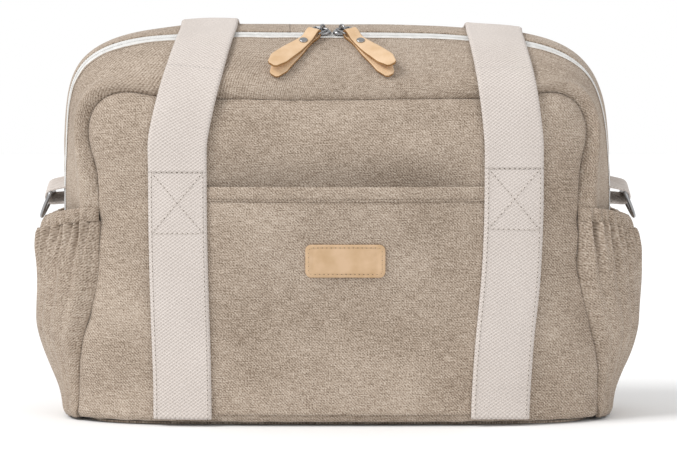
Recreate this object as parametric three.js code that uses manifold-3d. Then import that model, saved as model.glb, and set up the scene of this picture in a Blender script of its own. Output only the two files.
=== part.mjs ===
// A soft canvas diaper bag with webbing handles, standing on its flat base.
// Millimetres, +X to the bag's right as seen from its front, front towards -Y, +Z up, base on z = 0.
import * as THREE from 'three';
import Module from 'manifold-3d';

const wasm = await Module();
wasm.setup();

// ---------- driving sizes ----------
const HEIGHT = 275;
const HALF_WIDTH = 193;
const DOME_RADIUS = 84;
const DOME_Z = HEIGHT - DOME_RADIUS;
const BASE_ROUND = 8;
const PLAN_POWER = 3.3;
const SHOULDER_Z = 158;
const SHOULDER_POWER = 5.2;
const FOOT_HALF_WIDTH = 195;
const GUSSET_TOP_Z = 141;

const GAP = 0.4;
const SHELL = 1.6;
const WEBBING_WIDTH = 40;
const WEBBING_THICK = 2;
const STRAP_LIFT = 2;
const SEWN_TOP_Z = 177;

const COLOUR = {
  canvas: 0xb7a794,
  lining: 0xd9cfc0,
  board: 0x6f675c,
  webbing: 0xded4ca,
  zip: 0xe6e2dc,
  leather: 0xe0bd8c,
  metal: 0xb9bcc0,
};

const group = new THREE.Group();
group.name = 'diaper_bag';

const smooth = (t) => {
  const k = Math.min(Math.max(t, 0), 1);
  return k * k * (3 - 2 * k);
};
const mix = (a, b, t) => a + (b - a) * t;
const vec = (x, y, z) => new THREE.Vector3(x, y, z);
const DEGREE = Math.PI / 180;

// ---------- the body's outer surface ----------
function baseInset(z) {
  if (z >= BASE_ROUND) return 0;
  const drop = BASE_ROUND - Math.max(z, 0);
  return BASE_ROUND - Math.sqrt(BASE_ROUND ** 2 - drop ** 2);
}

function halfWidth(z) {
  if (z < SHOULDER_Z) return mix(FOOT_HALF_WIDTH, HALF_WIDTH, smooth(z / SHOULDER_Z)) - baseInset(z);
  const rise = Math.min((z - SHOULDER_Z) / (HEIGHT - SHOULDER_Z), 1);
  return HALF_WIDTH * (1 - rise ** SHOULDER_POWER) ** (1 / SHOULDER_POWER);
}

function halfDepth(z) {
  if (z < DOME_Z) return DOME_RADIUS - baseInset(z);
  return Math.sqrt(Math.max(DOME_RADIUS ** 2 - (z - DOME_Z) ** 2, 0));
}

function field(p) {
  if (p.z <= 0 || p.z >= HEIGHT) return 1;
  const across = Math.abs(p.x) / halfWidth(p.z);
  const deep = Math.abs(p.y) / halfDepth(p.z);
  return across ** PLAN_POWER + deep ** PLAN_POWER - 1;
}

// Where a ray from a point inside the body meets its surface.
function alongRay(start, ray) {
  let inside = 0;
  let outside = 2 * HALF_WIDTH;
  for (let i = 0; i < 36; i += 1) {
    const middle = (inside + outside) / 2;
    if (field(start.clone().addScaledVector(ray, middle)) < 0) inside = middle;
    else outside = middle;
  }
  return start.clone().addScaledVector(ray, inside);
}

// Projects a point onto the surface, level below the gusset top and from one centre above it.
function onBody(q) {
  const centre = vec(0, 0, Math.min(q.z, GUSSET_TOP_Z));
  return alongRay(centre, q.clone().sub(centre).normalize());
}

function normalAt(p) {
  const step = 0.05;
  const z = Math.min(Math.max(p.z, 2 * step), HEIGHT - 2 * step);
  const slope = (dx, dy, dz) =>
    field(vec(p.x + dx, p.y + dy, z + dz)) - field(vec(p.x - dx, p.y - dy, z - dz));
  return vec(slope(step, 0, 0), slope(0, step, 0), slope(0, 0, step)).normalize();
}

function lifted(q, height) {
  const p = onBody(q);
  return p.addScaledVector(normalAt(p), height);
}

// The front face at (x, z), or the back face when side is +1.
function facePoint(x, z, side) {
  const share = Math.min(Math.abs(x) / halfWidth(z), 0.999) ** PLAN_POWER;
  return vec(x, side * halfDepth(z) * (1 - share) ** (1 / PLAN_POWER), z);
}

function onFace(x, z, side, height) {
  const p = facePoint(x, z, side);
  return p.addScaledVector(normalAt(p), height);
}

// A point by its x and its distance along the skin forward of the ridge, the way webbing lies.
function overTop(x, arc, height) {
  const quarter = (DOME_RADIUS * Math.PI) / 2;
  if (Math.abs(arc) > quarter) {
    return onFace(x, DOME_Z - (Math.abs(arc) - quarter), -Math.sign(arc), height);
  }
  const turn = arc / DOME_RADIUS;
  const p = alongRay(vec(x, 0, DOME_Z), vec(0, -Math.sin(turn), Math.cos(turn)));
  return p.addScaledVector(normalAt(p), height);
}

// ---------- mesh helpers ----------
function addSolid(name, colour, points, triangles) {
  const weld = new Map();
  const order = [];
  const flat = [];
  points.forEach((p) => {
    const key = [p.x, p.y, p.z].map((c) => Math.round(c * 1000)).join();
    if (!weld.has(key)) {
      weld.set(key, weld.size);
      flat.push(p.x, p.y, p.z);
    }
    order.push(weld.get(key));
  });
  const faces = [];
  triangles.forEach(([a, b, c]) => {
    const [i, j, k] = [order[a], order[b], order[c]];
    if (i !== j && j !== k && k !== i) faces.push(i, j, k);
  });
  let volume = 0;
  const corner = (i) => vec(flat[3 * i], flat[3 * i + 1], flat[3 * i + 2]);
  for (let f = 0; f < faces.length; f += 3) {
    volume += corner(faces[f]).dot(corner(faces[f + 1]).cross(corner(faces[f + 2])));
  }
  if (volume < 0) {
    for (let f = 0; f < faces.length; f += 3) {
      [faces[f + 1], faces[f + 2]] = [faces[f + 2], faces[f + 1]];
    }
  }
  const geometry = new THREE.BufferGeometry();
  geometry.setAttribute('position', new THREE.Float32BufferAttribute(flat, 3));
  geometry.setIndex(faces);
  addGeometry(name, colour, geometry);
}

function addGeometry(name, colour, geometry) {
  geometry.computeVertexNormals();
  const material = new THREE.MeshStandardMaterial({ color: colour, roughness: 0.85 });
  const mesh = new THREE.Mesh(geometry, material);
  mesh.name = name;
  group.add(mesh);
}

// A closed sheet: point(u, v, skin) gives its two skins, skin 0 inside and 1 outside.
function sheetParts(point, columns, rows, round = false) {
  const points = [];
  const triangles = [];
  const across = round ? columns : columns + 1;
  const at = (skin, i, j) => (skin * (rows + 1) + j) * across + (i % across);
  for (let skin = 0; skin < 2; skin += 1) {
    for (let j = 0; j <= rows; j += 1) {
      for (let i = 0; i < across; i += 1) points.push(point(i / columns, j / rows, skin));
    }
  }
  const quad = (a, b, c, d) => triangles.push([a, b, c], [a, c, d]);
  for (let i = 0; i < columns; i += 1) {
    for (let j = 0; j < rows; j += 1) {
      quad(at(1, i, j), at(1, i + 1, j), at(1, i + 1, j + 1), at(1, i, j + 1));
      quad(at(0, i, j), at(0, i, j + 1), at(0, i + 1, j + 1), at(0, i + 1, j));
    }
    quad(at(0, i, 0), at(0, i + 1, 0), at(1, i + 1, 0), at(1, i, 0));
    quad(at(0, i + 1, rows), at(0, i, rows), at(1, i, rows), at(1, i + 1, rows));
  }
  for (let j = 0; j < rows && !round; j += 1) {
    quad(at(0, 0, j + 1), at(0, 0, j), at(1, 0, j), at(1, 0, j + 1));
    quad(at(0, columns, j), at(0, columns, j + 1), at(1, columns, j + 1), at(1, columns, j));
  }
  return { points, triangles };
}

function addSheet(name, colour, columns, rows, point, round = false) {
  const { points, triangles } = sheetParts(point, columns, rows, round);
  addSolid(name, colour, points, triangles);
}

// A closed patch inside an outline of 2-D points, its rings closer together near the edge.
const RING_CROWDING = 1.6;

function addPatch(name, colour, outline, middle, rings, place) {
  const point = (u, v, skin) => {
    const edge = outline[Math.round(u * outline.length) % outline.length];
    const out = 1 - (1 - v) ** RING_CROWDING;
    return place(mix(middle[0], edge[0], out), mix(middle[1], edge[1], out), skin);
  };
  addSheet(name, colour, outline.length, rings, point, true);
}

function toManifold(geometry) {
  const mesh = { numProp: 3 };
  mesh.vertProperties = new Float32Array(geometry.attributes.position.array);
  mesh.triVerts = new Uint32Array(geometry.index.array);
  return new wasm.Manifold(new wasm.Mesh(mesh));
}

function fromManifold(solid) {
  const mesh = solid.getMesh();
  const geometry = new THREE.BufferGeometry();
  geometry.setAttribute('position', new THREE.Float32BufferAttribute(mesh.vertProperties, 3));
  geometry.setIndex([...mesh.triVerts]);
  return geometry;
}

function manifoldOfSheet(columns, rows, point) {
  const { points, triangles } = sheetParts(point, columns, rows);
  const flat = points.flatMap((p) => [p.x, p.y, p.z]);
  const geometry = new THREE.BufferGeometry();
  geometry.setAttribute('position', new THREE.Float32BufferAttribute(flat, 3));
  geometry.setIndex(triangles.flat());
  const solid = toManifold(geometry);
  if (solid.volume() > 0) return solid;
  geometry.setIndex(triangles.flatMap(([a, b, c]) => [a, c, b]));
  return toManifold(geometry);
}

// ---------- seams ----------
const SEAM_TOP_Z = 228;
const SEAM_HALF_WIDTH = 172;
const SEAM_CENTRE_Z = 130;
const SEAM_POWER = 12;
const PANEL_FOOT_Z = 2;

// Half the width of the front and back panels at a height.
function panelHalfWidth(z) {
  const waist = SEAM_HALF_WIDTH - 4 * smooth((200 - z) / 50);
  return waist + 16 * smooth((112 - z) / 80) - 0.8 * baseInset(z);
}

function seamRadius(angle) {
  const rise = Math.abs(Math.sin(angle)) / (SEAM_TOP_Z - SEAM_CENTRE_Z);
  const run = Math.abs(Math.cos(angle)) / SEAM_HALF_WIDTH;
  return (rise ** SEAM_POWER + run ** SEAM_POWER) ** (-1 / SEAM_POWER);
}

// The corners of the seam are drawn up and out, as soft ears.
const EAR = { x: 153, z: 205, up: 6, out: 5 };

function hump(x, centre, width) {
  return Math.exp(-(((x - centre) / width) ** 2));
}

// The panel seam where the yokes begin, from the right gusset top over to the left one.
function panelSeam(t) {
  const start = Math.atan2(GUSSET_TOP_Z - SEAM_CENTRE_Z, panelHalfWidth(GUSSET_TOP_Z));
  const angle = mix(start, Math.PI - start, t);
  const radius = seamRadius(angle);
  const z = SEAM_CENTRE_Z + radius * Math.sin(angle);
  const lean = Math.min(panelHalfWidth(z) / SEAM_HALF_WIDTH, 1);
  const x = radius * Math.cos(angle) * lean;
  const out = EAR.out * hump(z, EAR.z, 24) * smooth(Math.abs(x) / EAR.x);
  const up = EAR.up * hump(Math.abs(x), EAR.x, 24);
  return [x + Math.sign(x) * out, z + up];
}

function panelOutline() {
  const outline = [];
  const top = 44;
  for (let i = 0; i <= top; i += 1) outline.push(panelSeam(i / top));
  const side = 8;
  for (let i = 1; i <= side; i += 1) {
    const z = mix(GUSSET_TOP_Z, PANEL_FOOT_Z, i / side);
    outline.push([-panelHalfWidth(z), z]);
  }
  const foot = 12;
  const corner = panelHalfWidth(PANEL_FOOT_Z);
  for (let i = 1; i < foot; i += 1) outline.push([mix(-corner, corner, i / foot), PANEL_FOOT_Z]);
  for (let i = side; i >= 1; i -= 1) {
    const z = mix(GUSSET_TOP_Z, PANEL_FOOT_Z, i / side);
    outline.push([panelHalfWidth(z), z]);
  }
  return outline;
}

const PANEL_MIDDLE = [0, 112];

function addFacePanel(name, side) {
  const place = (x, z, skin) => onFace(x, z, side, skin ? 0 : -SHELL);
  addPatch(name, COLOUR.canvas, panelOutline(), PANEL_MIDDLE, 7, place);
}

// ---------- the zip's line ----------
const ZIP_Y = -25;
const COIL_HALF = 1.7;
const COIL_HIGH = 1;
const TAPE_EDGE = 6.6;
const ZIP_SPLIT_LEFT = -33;
const ZIP_SPLIT_RIGHT = 41;

function zipAngle(x) {
  return Math.atan2(HEIGHT - 4 - SEAM_CENTRE_Z, x);
}

const ZIP_START = Math.atan2(GUSSET_TOP_Z + GAP - SEAM_CENTRE_Z, HALF_WIDTH);

// A point on the zip line by its angle about the bag's depth axis, shifted rearwards across it.
function zipPoint(angle, rearward, height) {
  const start = vec(0, ZIP_Y + rearward, SEAM_CENTRE_Z);
  const p = alongRay(start, vec(Math.cos(angle), 0, Math.sin(angle)));
  return p.addScaledVector(normalAt(p), height);
}

function addZipBand(name, colour, from, to, near, far, low, high, steps) {
  const point = (u, v, skin) =>
    zipPoint(mix(from, to, u), mix(near, far, v), skin ? high : low);
  addSheet(name, colour, steps, 1, point);
}

function addZip() {
  const right = ZIP_START;
  const left = Math.PI - ZIP_START;
  const splitRight = zipAngle(ZIP_SPLIT_RIGHT);
  const splitLeft = zipAngle(ZIP_SPLIT_LEFT);
  const slip = 0.3 / 145;
  const runs = [
    ['rear_right', right, splitRight - slip, 18],
    ['rear_mid', splitRight, splitLeft, 8],
    ['rear_left', splitLeft + slip, left, 18],
  ];
  const tape = { low: -0.5, high: 0.4 };
  addZipBand('zip_tape_front', COLOUR.zip, right, left, -TAPE_EDGE, -COIL_HALF - 0.3,
    tape.low, tape.high, 44);
  addZipBand('zip_coil_front', COLOUR.zip, right, left, -COIL_HALF, -0.15, -0.5, COIL_HIGH, 44);
  runs.forEach(([place, from, to, steps]) => {
    addZipBand(`zip_tape_${place}`, COLOUR.zip, from, to, COIL_HALF + 0.3, TAPE_EDGE,
      tape.low, tape.high, steps);
    addZipBand(`zip_coil_${place}`, COLOUR.zip, from, to, 0.15, COIL_HALF, -0.5, COIL_HIGH, steps);
  });
}

// ---------- yokes between the panel seams and the zip ----------
function yokePoint(side, near) {
  const scale = 1 + GAP / SEAM_HALF_WIDTH;
  return (u, v, skin) => {
    const [x, z] = panelSeam(u);
    const lift = (z - GUSSET_TOP_Z) * scale + GUSSET_TOP_Z + GAP;
    const seam = facePoint(x * scale, lift, side);
    const angle = mix(ZIP_START, Math.PI - ZIP_START, u);
    const edge = zipPoint(angle, near, 0);
    const even = seam.clone().lerp(edge, v);
    return lifted(even, skin ? 0 : -SHELL);
  };
}

const LIP_REAR_ARC = -25;

function onDomeArc(y) {
  return -DOME_RADIUS * Math.asin(y / DOME_RADIUS);
}

function lipPoint(grow, low, high) {
  return (u, v, skin) => {
    const x = mix(ZIP_SPLIT_LEFT - grow, ZIP_SPLIT_RIGHT + grow, u);
    const front = onDomeArc(ZIP_Y + TAPE_EDGE + 0.6) + grow * 20;
    return overTop(x, mix(LIP_REAR_ARC - grow, front, v), skin ? high : low);
  };
}

function addYokes() {
  addSheet('front_yoke', COLOUR.canvas, 44, 5, yokePoint(-1, -TAPE_EDGE - 0.3));
  const whole = manifoldOfSheet(44, 8, yokePoint(1, TAPE_EDGE + 0.3));
  const window = manifoldOfSheet(6, 5, lipPoint(GAP, -8, 8));
  addGeometry('rear_yoke', COLOUR.canvas, fromManifold(whole.subtract(window)));
  addSheet('rear_lip', COLOUR.canvas, 8, 6, lipPoint(0, -SHELL, 0));
}

// ---------- side gussets ----------
// Across a side gusset from its front seam (u = 0) to its rear seam (u = 1) at one height.
function gussetPoint(u, z, side) {
  const seamX = panelHalfWidth(z) + GAP;
  const seamY = Math.abs(facePoint(seamX, z, -1).y);
  const reach = Math.atan2(seamY, seamX);
  const turn = mix(-reach, reach, u);
  const run = (Math.cos(turn) / halfWidth(z)) ** PLAN_POWER;
  const depth = (Math.abs(Math.sin(turn)) / halfDepth(z)) ** PLAN_POWER;
  const radius = (run + depth) ** (-1 / PLAN_POWER);
  return vec(side * radius * Math.cos(turn), radius * Math.sin(turn), z);
}

function addSideGusset(name, side) {
  const point = (u, v, skin) => {
    const p = gussetPoint(u, mix(PANEL_FOOT_Z, GUSSET_TOP_Z, v), side);
    return p.addScaledVector(normalAt(p), skin ? 0 : -SHELL);
  };
  addSheet(name, COLOUR.canvas, 12, 10, point);
}

// ---------- base ----------
const BASE_PANEL = { halfX: 175, halfY: 72, top: 1.4 };
const BASE_BOARD = { halfX: 160, halfY: 63, low: 1.9, top: 4.4 };
const PLAN_CORNER = 5;

function planOutline(halfX, halfY, count) {
  const outline = [];
  for (let i = 0; i < count; i += 1) {
    const turn = (2 * Math.PI * i) / count;
    const run = (Math.abs(Math.cos(turn)) / halfX) ** PLAN_CORNER;
    const depth = (Math.abs(Math.sin(turn)) / halfY) ** PLAN_CORNER;
    const radius = (run + depth) ** (-1 / PLAN_CORNER);
    outline.push([radius * Math.cos(turn), radius * Math.sin(turn)]);
  }
  return outline;
}

function addBase() {
  const flat = (low, high) => (x, y, skin) => vec(x, y, skin ? low : high);
  const panel = planOutline(BASE_PANEL.halfX, BASE_PANEL.halfY, 48);
  addPatch('base_panel', COLOUR.canvas, panel, [0, 0], 1, flat(0, BASE_PANEL.top));
  const board = planOutline(BASE_BOARD.halfX, BASE_BOARD.halfY, 40);
  addPatch('base_board', COLOUR.board, board, [0, 0], 1, flat(BASE_BOARD.low, BASE_BOARD.top));
}

// ---------- lining ----------
const LINING_DEPTH = 7;
const LINING_THICK = 0.6;
const LINING_FLOOR_Z = 5.4;
const LINING_WAIST = 0.62;
const LINING_MOUTH = { halfX: 34, arc: 1, halfArc: 24 };

function addLining() {
  const hole = (turn) => {
    const x = mix(ZIP_SPLIT_LEFT, ZIP_SPLIT_RIGHT, 0.5) + LINING_MOUTH.halfX * Math.cos(turn);
    return overTop(x, LINING_MOUTH.arc - LINING_MOUTH.halfArc * Math.sin(turn), 0);
  };
  const centre = vec(0, 0, GUSSET_TOP_Z);
  const point = (u, v, skin) => {
    const turn = 2 * Math.PI * u;
    const rim = hole(turn).sub(centre).normalize();
    const outward = vec(Math.cos(turn), 0.45 * -Math.sin(turn), 0).normalize();
    const down = vec(0, 0, -1);
    const ray = down.clone();
    const quarter = Math.min(v / LINING_WAIST, 1) * (Math.PI / 2);
    if (v < LINING_WAIST) ray.lerp(outward, Math.sin(quarter));
    else ray.copy(outward).lerp(rim, (v - LINING_WAIST) / (1 - LINING_WAIST));
    if (v < LINING_WAIST) ray.z = -Math.cos(quarter);
    return liningSkin(centre, ray.normalize(), skin);
  };
  addSheet('lining', COLOUR.lining, 40, 14, point, true);
}

function liningSkin(centre, ray, skin) {
  const p = alongRay(centre, ray);
  p.addScaledVector(normalAt(p), -LINING_DEPTH - (skin ? 0 : LINING_THICK));
  p.z = Math.max(p.z, LINING_FLOOR_Z + (skin ? 0 : LINING_THICK));
  return p;
}

// ---------- front slip pocket and its label ----------
const POCKET = { left: -111, right: 119, foot: 8, hem: 156, top: 166 };
const POCKET_CLOTH = 0.9;
const POCKET_GAPE = 6;

function pocketLift(x, z) {
  const free = (x - 5) / 96;
  const across = Math.abs(free) < 1 ? (1 - free * free) ** 1.5 : 0;
  return 0.35 + POCKET_GAPE * across * smooth((z - 20) / 146);
}

function addFrontPocket() {
  const cloth = (low, high, foot, top) => (u, v, skin) => {
    const x = mix(POCKET.left, POCKET.right, u);
    const z = mix(foot, top, v ** 1.6);
    return onFace(x, z, -1, pocketLift(x, z) + (skin ? high : low));
  };
  addSheet('front_pocket', COLOUR.canvas, 18, 10,
    cloth(0, POCKET_CLOTH, POCKET.foot, POCKET.hem - GAP));
  addSheet('front_pocket_hem', COLOUR.canvas, 18, 2,
    cloth(0, POCKET_CLOTH, POCKET.hem, POCKET.top));
}

function roundedOutline(halfX, halfZ, radius, middle) {
  const outline = [];
  const steps = 6;
  for (let corner = 0; corner < 4; corner += 1) {
    const signX = corner === 0 || corner === 3 ? 1 : -1;
    const signZ = corner < 2 ? 1 : -1;
    for (let i = 0; i <= steps; i += 1) {
      const turn = (corner + i / steps) * (Math.PI / 2);
      outline.push([
        middle[0] + signX * (halfX - radius) + radius * Math.cos(turn),
        middle[1] + signZ * (halfZ - radius) + radius * Math.sin(turn),
      ]);
    }
  }
  return outline;
}

function addLabel() {
  const middle = [5.2, 115];
  const outline = roundedOutline(27.5, 11.4, 4, middle);
  const low = POCKET_CLOTH + 0.7;
  const place = (x, z, skin) =>
    onFace(x, z, -1, pocketLift(x, z) + low + (skin ? 1.6 : 0));
  addPatch('label_patch', COLOUR.leather, outline, middle, 3, place);
}

// ---------- side pockets ----------
const SIDE_POCKET = { foot: 3, top: 151, sag: 9, hem: 10, bulge: 20, fullAt: 70, cloth: 1.2 };
const CINCH = { share: 0.42, from: 116, over: 32 };

function sidePocketTop(u) {
  return SIDE_POCKET.top - SIDE_POCKET.sag * Math.sin(Math.PI * u) ** 1.5;
}

function sidePocketLift(u, z) {
  const rise = smooth((z - SIDE_POCKET.foot) / (SIDE_POCKET.fullAt - SIDE_POCKET.foot));
  const cinch = 1 - CINCH.share * smooth((z - CINCH.from) / CINCH.over);
  return 0.4 + SIDE_POCKET.bulge * rise * cinch * Math.sin(Math.PI * u) ** 0.8;
}

function addSidePocket(place, side) {
  const inset = 0.012;
  const cloth = (bottom, top, thick) => (u, v, skin) => {
    const across = mix(inset, 1 - inset, u);
    const z = mix(bottom(across), top(across), v);
    const p = gussetPoint(across, z, side);
    return p.addScaledVector(normalAt(p), sidePocketLift(across, z) + (skin ? thick : 0));
  };
  const foot = () => SIDE_POCKET.foot;
  const hemFoot = (u) => sidePocketTop(u) - SIDE_POCKET.hem;
  addSheet(`side_pocket_${place}`, COLOUR.canvas, 16, 12,
    cloth(foot, (u) => hemFoot(u) - GAP, SIDE_POCKET.cloth));
  addSheet(`side_pocket_hem_${place}`, COLOUR.canvas, 16, 2,
    cloth(hemFoot, sidePocketTop, 2 * SIDE_POCKET.cloth));
}

// ---------- webbing ----------
const RIDGE_ARC = 0;
const SEWN_ARC = (DOME_RADIUS * Math.PI) / 2 + DOME_Z - SEWN_TOP_Z;
const FOOT_ARC = (DOME_RADIUS * Math.PI) / 2 + DOME_Z - 8;
const FRONT_LEGS = { left: [-107, -110, -91], right: [112, 121, 111] };
const REAR_LEGS = { left: [-112, -114, -114], right: [112, 114, 114] };

// The share of the dome's height over which a leg leans from its sewn line to the ridge.
const LEG_BEND = 0.95;

// A leg's centre line: x at the base seam, at the sewn top and at the ridge.
function legX(stations, arc) {
  const [foot, sewn, ridge] = stations;
  const reach = Math.abs(arc);
  if (reach > SEWN_ARC) return mix(sewn, foot, smooth((reach - SEWN_ARC) / (FOOT_ARC - SEWN_ARC)));
  const climb = 1 - Math.min((1 - Math.cos(reach / DOME_RADIUS)) / LEG_BEND, 1);
  return mix(sewn, ridge, climb ** 1.25);
}

function addLeg(name, stations, from, to, crowding, rows) {
  const point = (u, v, skin) => {
    const arc = mix(from, to, v ** crowding);
    const x = legX(stations, arc) + mix(-1, 1, u) * (WEBBING_WIDTH / 2);
    return overTop(x, arc, STRAP_LIFT + (skin ? WEBBING_THICK : 0));
  };
  addSheet(name, COLOUR.webbing, 3, rows, point);
}

// The arch that joins two legs of a handle, laid on the skin beyond the ridge.
function addArch(name, left, right, startArc, legLength, depth, lift) {
  const middle = (left + right) / 2;
  const half = (right - left) / 2;
  const total = 2 * legLength + Math.PI * Math.sqrt((half * half + depth * depth) / 2);
  const centreLine = (t) => {
    const s = t * total;
    const bend = total - 2 * legLength;
    if (s < legLength) return [left, s];
    if (s > total - legLength) return [right, total - s];
    const turn = Math.PI * (1 - (s - legLength) / bend);
    return [middle + half * Math.cos(turn), legLength + depth * Math.sin(turn)];
  };
  const point = (u, v, skin) => {
    const here = centreLine(v);
    const before = centreLine(Math.max(v - 0.004, 0));
    const after = centreLine(Math.min(v + 0.004, 1));
    const run = [after[0] - before[0], after[1] - before[1]];
    const length = Math.hypot(...run);
    const side = mix(-1, 1, u) * (WEBBING_WIDTH / 2);
    const x = here[0] - (side * run[1]) / length;
    const down = here[1] + (side * run[0]) / length;
    return overTop(x, startArc - down, lift + (skin ? WEBBING_THICK : 0));
  };
  addSheet(name, COLOUR.webbing, 3, 40, point);
}

const HINGE_GAP = 0.5;
const REAR_FOLD_ARC = -((DOME_RADIUS * Math.PI) / 2 - 6);

function addHandles() {
  ['left', 'right'].forEach((place) => {
    const front = FRONT_LEGS[place];
    const rear = REAR_LEGS[place];
    addLeg(`front_handle_leg_${place}`, front, FOOT_ARC, SEWN_ARC, 1.6, 13);
    addLeg(`front_handle_span_${place}`, front, SEWN_ARC - HINGE_GAP, RIDGE_ARC, 1, 14);
    addLeg(`rear_handle_leg_${place}`, rear, -FOOT_ARC, REAR_FOLD_ARC, 1.6, 14);
  });
  const ridge = [legX(FRONT_LEGS.left, 0), legX(FRONT_LEGS.right, 0)];
  addArch('front_handle_loop', ridge[0], ridge[1], -HINGE_GAP, 20, 66, STRAP_LIFT);
  const fold = [legX(REAR_LEGS.left, REAR_FOLD_ARC), legX(REAR_LEGS.right, REAR_FOLD_ARC)];
  addArch('rear_handle_loop', fold[0], fold[1], REAR_FOLD_ARC, 103, 66,
    STRAP_LIFT + WEBBING_THICK + 0.6);
}

// ---------- sliders and pulls ----------
const SLIDERS = [
  { place: 'left', x: -11.2, lean: -0.56 },
  { place: 'right', x: 3.2, lean: 0.56 },
];
const SLIDER_ARC = onDomeArc(ZIP_Y);

// A flat frame on the skin at a slider: forward along the pull, across it, and straight out.
function sliderFrame({ x, lean }) {
  const origin = overTop(x, SLIDER_ARC, 0);
  const up = normalAt(origin);
  const along = overTop(x + 1, SLIDER_ARC, 0).sub(origin).normalize();
  const forward = up.clone().cross(along).negate().normalize();
  const pull = forward.clone().multiplyScalar(Math.cos(lean)).addScaledVector(along, Math.sin(lean));
  return { origin, up, along, forward, pull, cross: pull.clone().cross(up) };
}

function placeIn(geometry, origin, axisX, axisY, axisZ) {
  const turn = new THREE.Matrix4().makeBasis(axisX, axisY, axisZ);
  turn.setPosition(origin);
  geometry.applyMatrix4(turn);
  return geometry;
}

function welded(geometry) {
  geometry.deleteAttribute('normal');
  geometry.deleteAttribute('uv');
  const index = geometry.index ? [...geometry.index.array] : null;
  const position = geometry.attributes.position;
  const count = index ? index.length : position.count;
  const keys = new Map();
  const flat = [];
  const faces = [];
  for (let i = 0; i < count; i += 1) {
    const k = index ? index[i] : i;
    const p = [position.getX(k), position.getY(k), position.getZ(k)];
    const key = p.map((c) => Math.round(c * 1e4)).join();
    if (!keys.has(key)) {
      keys.set(key, keys.size);
      flat.push(...p);
    }
    faces.push(keys.get(key));
  }
  const out = new THREE.BufferGeometry();
  out.setAttribute('position', new THREE.Float32BufferAttribute(flat, 3));
  out.setIndex(faces);
  return out;
}

function block(sizeX, sizeY, sizeZ, x, y, z) {
  return toManifold(welded(new THREE.BoxGeometry(sizeX, sizeY, sizeZ).translate(x, y, z)));
}

function capsulePlate(length, width, thick, z) {
  const shape = new THREE.Shape();
  const half = length / 2 - width / 2;
  shape.absarc(half, 0, width / 2, -Math.PI / 2, Math.PI / 2, false);
  shape.absarc(-half, 0, width / 2, Math.PI / 2, (3 * Math.PI) / 2, false);
  const options = { depth: thick, bevelEnabled: false, curveSegments: 8 };
  return toManifold(welded(new THREE.ExtrudeGeometry(shape, options).translate(0, 0, z)));
}

function addSlider(slider) {
  const { origin, up, along, forward } = sliderFrame(slider);
  const plate = capsulePlate(13, 9, 2.4, 1.1);
  const channel = block(30, 4.6, 2, 0, 0, 1.2);
  const arch = block(3, 6.4, 3.4, 0, 0, 5.1).subtract(block(4, 4.2, 2.1, 0, 0, 4.7));
  const turn = (slider.lean * 180) / Math.PI;
  const whole = plate.subtract(channel).add(arch.rotate([0, 0, turn]));
  const geometry = fromManifold(whole);
  addGeometry(`slider_${slider.place}`, COLOUR.metal,
    placeIn(geometry, origin, along, forward.clone().negate(), up));
}

const RING = { reach: 11, half: 5.1, wire: 0.75, height: 4.75 };
const PULL = { top: 46, bottom: 57, thick: 1.5, fold: 2.6, rivet: 14 };

function wireLoop(corners, radius, tension) {
  const path = new THREE.CatmullRomCurve3(corners, true, 'catmullrom', tension);
  const ring = [];
  const steps = 40;
  for (let i = 0; i < steps; i += 1) {
    const t = i / steps;
    ring.push({ at: path.getPointAt(t), tangent: path.getTangentAt(t), radius });
  }
  return ring;
}

// Sweeps a round wire along a closed flat loop whose plane has the given normal.
function addWire(name, loop, planeNormal) {
  const sides = 8;
  const points = [];
  const triangles = [];
  loop.forEach(({ at, tangent, radius }) => {
    const side = tangent.clone().cross(planeNormal).normalize();
    for (let k = 0; k < sides; k += 1) {
      const turn = (2 * Math.PI * k) / sides;
      points.push(at.clone().addScaledVector(side, radius * Math.cos(turn))
        .addScaledVector(planeNormal, radius * Math.sin(turn)));
    }
  });
  loop.forEach((_, i) => {
    const next = (i + 1) % loop.length;
    for (let k = 0; k < sides; k += 1) {
      const after = (k + 1) % sides;
      const [a, b, c, d] = [i * sides + k, next * sides + k, next * sides + after, i * sides + after];
      triangles.push([a, b, c], [a, c, d]);
    }
  });
  addSolid(name, COLOUR.metal, points, triangles);
}

function pullRing(slider) {
  const { origin, up, pull, cross } = sliderFrame(slider);
  const at = (s, w, h) => origin.clone().addScaledVector(pull, s)
    .addScaledVector(cross, w).addScaledVector(up, h);
  const { reach, half, height } = RING;
  const drop = 0.3;
  const corners = [
    at(0, -half + 1, height), at(0, 0, height), at(0, half - 1, height), at(1.2, half, height),
    at(reach - 1.2, half, height - drop), at(reach, half - 1, height - drop),
    at(reach, 0, height - drop), at(reach, -half + 1, height - drop),
    at(reach - 1.2, -half, height - drop), at(1.2, -half, height),
  ];
  addWire(`pull_ring_${slider.place}`, wireLoop(corners, RING.wire, 0.3), up);
}

// The folded leather strip: its middle line in (distance along the pull, height above the skin).
function pullLine() {
  const line = [];
  const low = 1.2 + PULL.thick / 2;
  const centre = low + PULL.fold;
  for (let i = 0; i <= 14; i += 1) line.push([mix(PULL.bottom, 0, i / 14), low, 0]);
  for (let i = 1; i < 8; i += 1) {
    const turn = Math.PI * (1.5 - i / 8);
    line.push([PULL.fold * Math.cos(turn), centre + PULL.fold * Math.sin(turn), 0.5]);
  }
  for (let i = 0; i <= 14; i += 1) {
    const s = mix(0, PULL.top, i / 14);
    const pinch = smooth(s / 9);
    const raise = 3.2 * smooth((s - 18) / 30);
    line.push([s, mix(low + 2 * PULL.fold, low + PULL.thick + 0.3, pinch) + raise, 1]);
  }
  return line;
}

function pullHalfWidth(s, tip) {
  const body = mix(3, 5.4, smooth(s / 20));
  const left = Math.max(tip - s, 0);
  const round = left < body ? Math.sqrt(Math.max(body ** 2 - (body - left) ** 2, 0)) : body;
  return Math.max(Math.min(body, round), 0.8);
}

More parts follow.
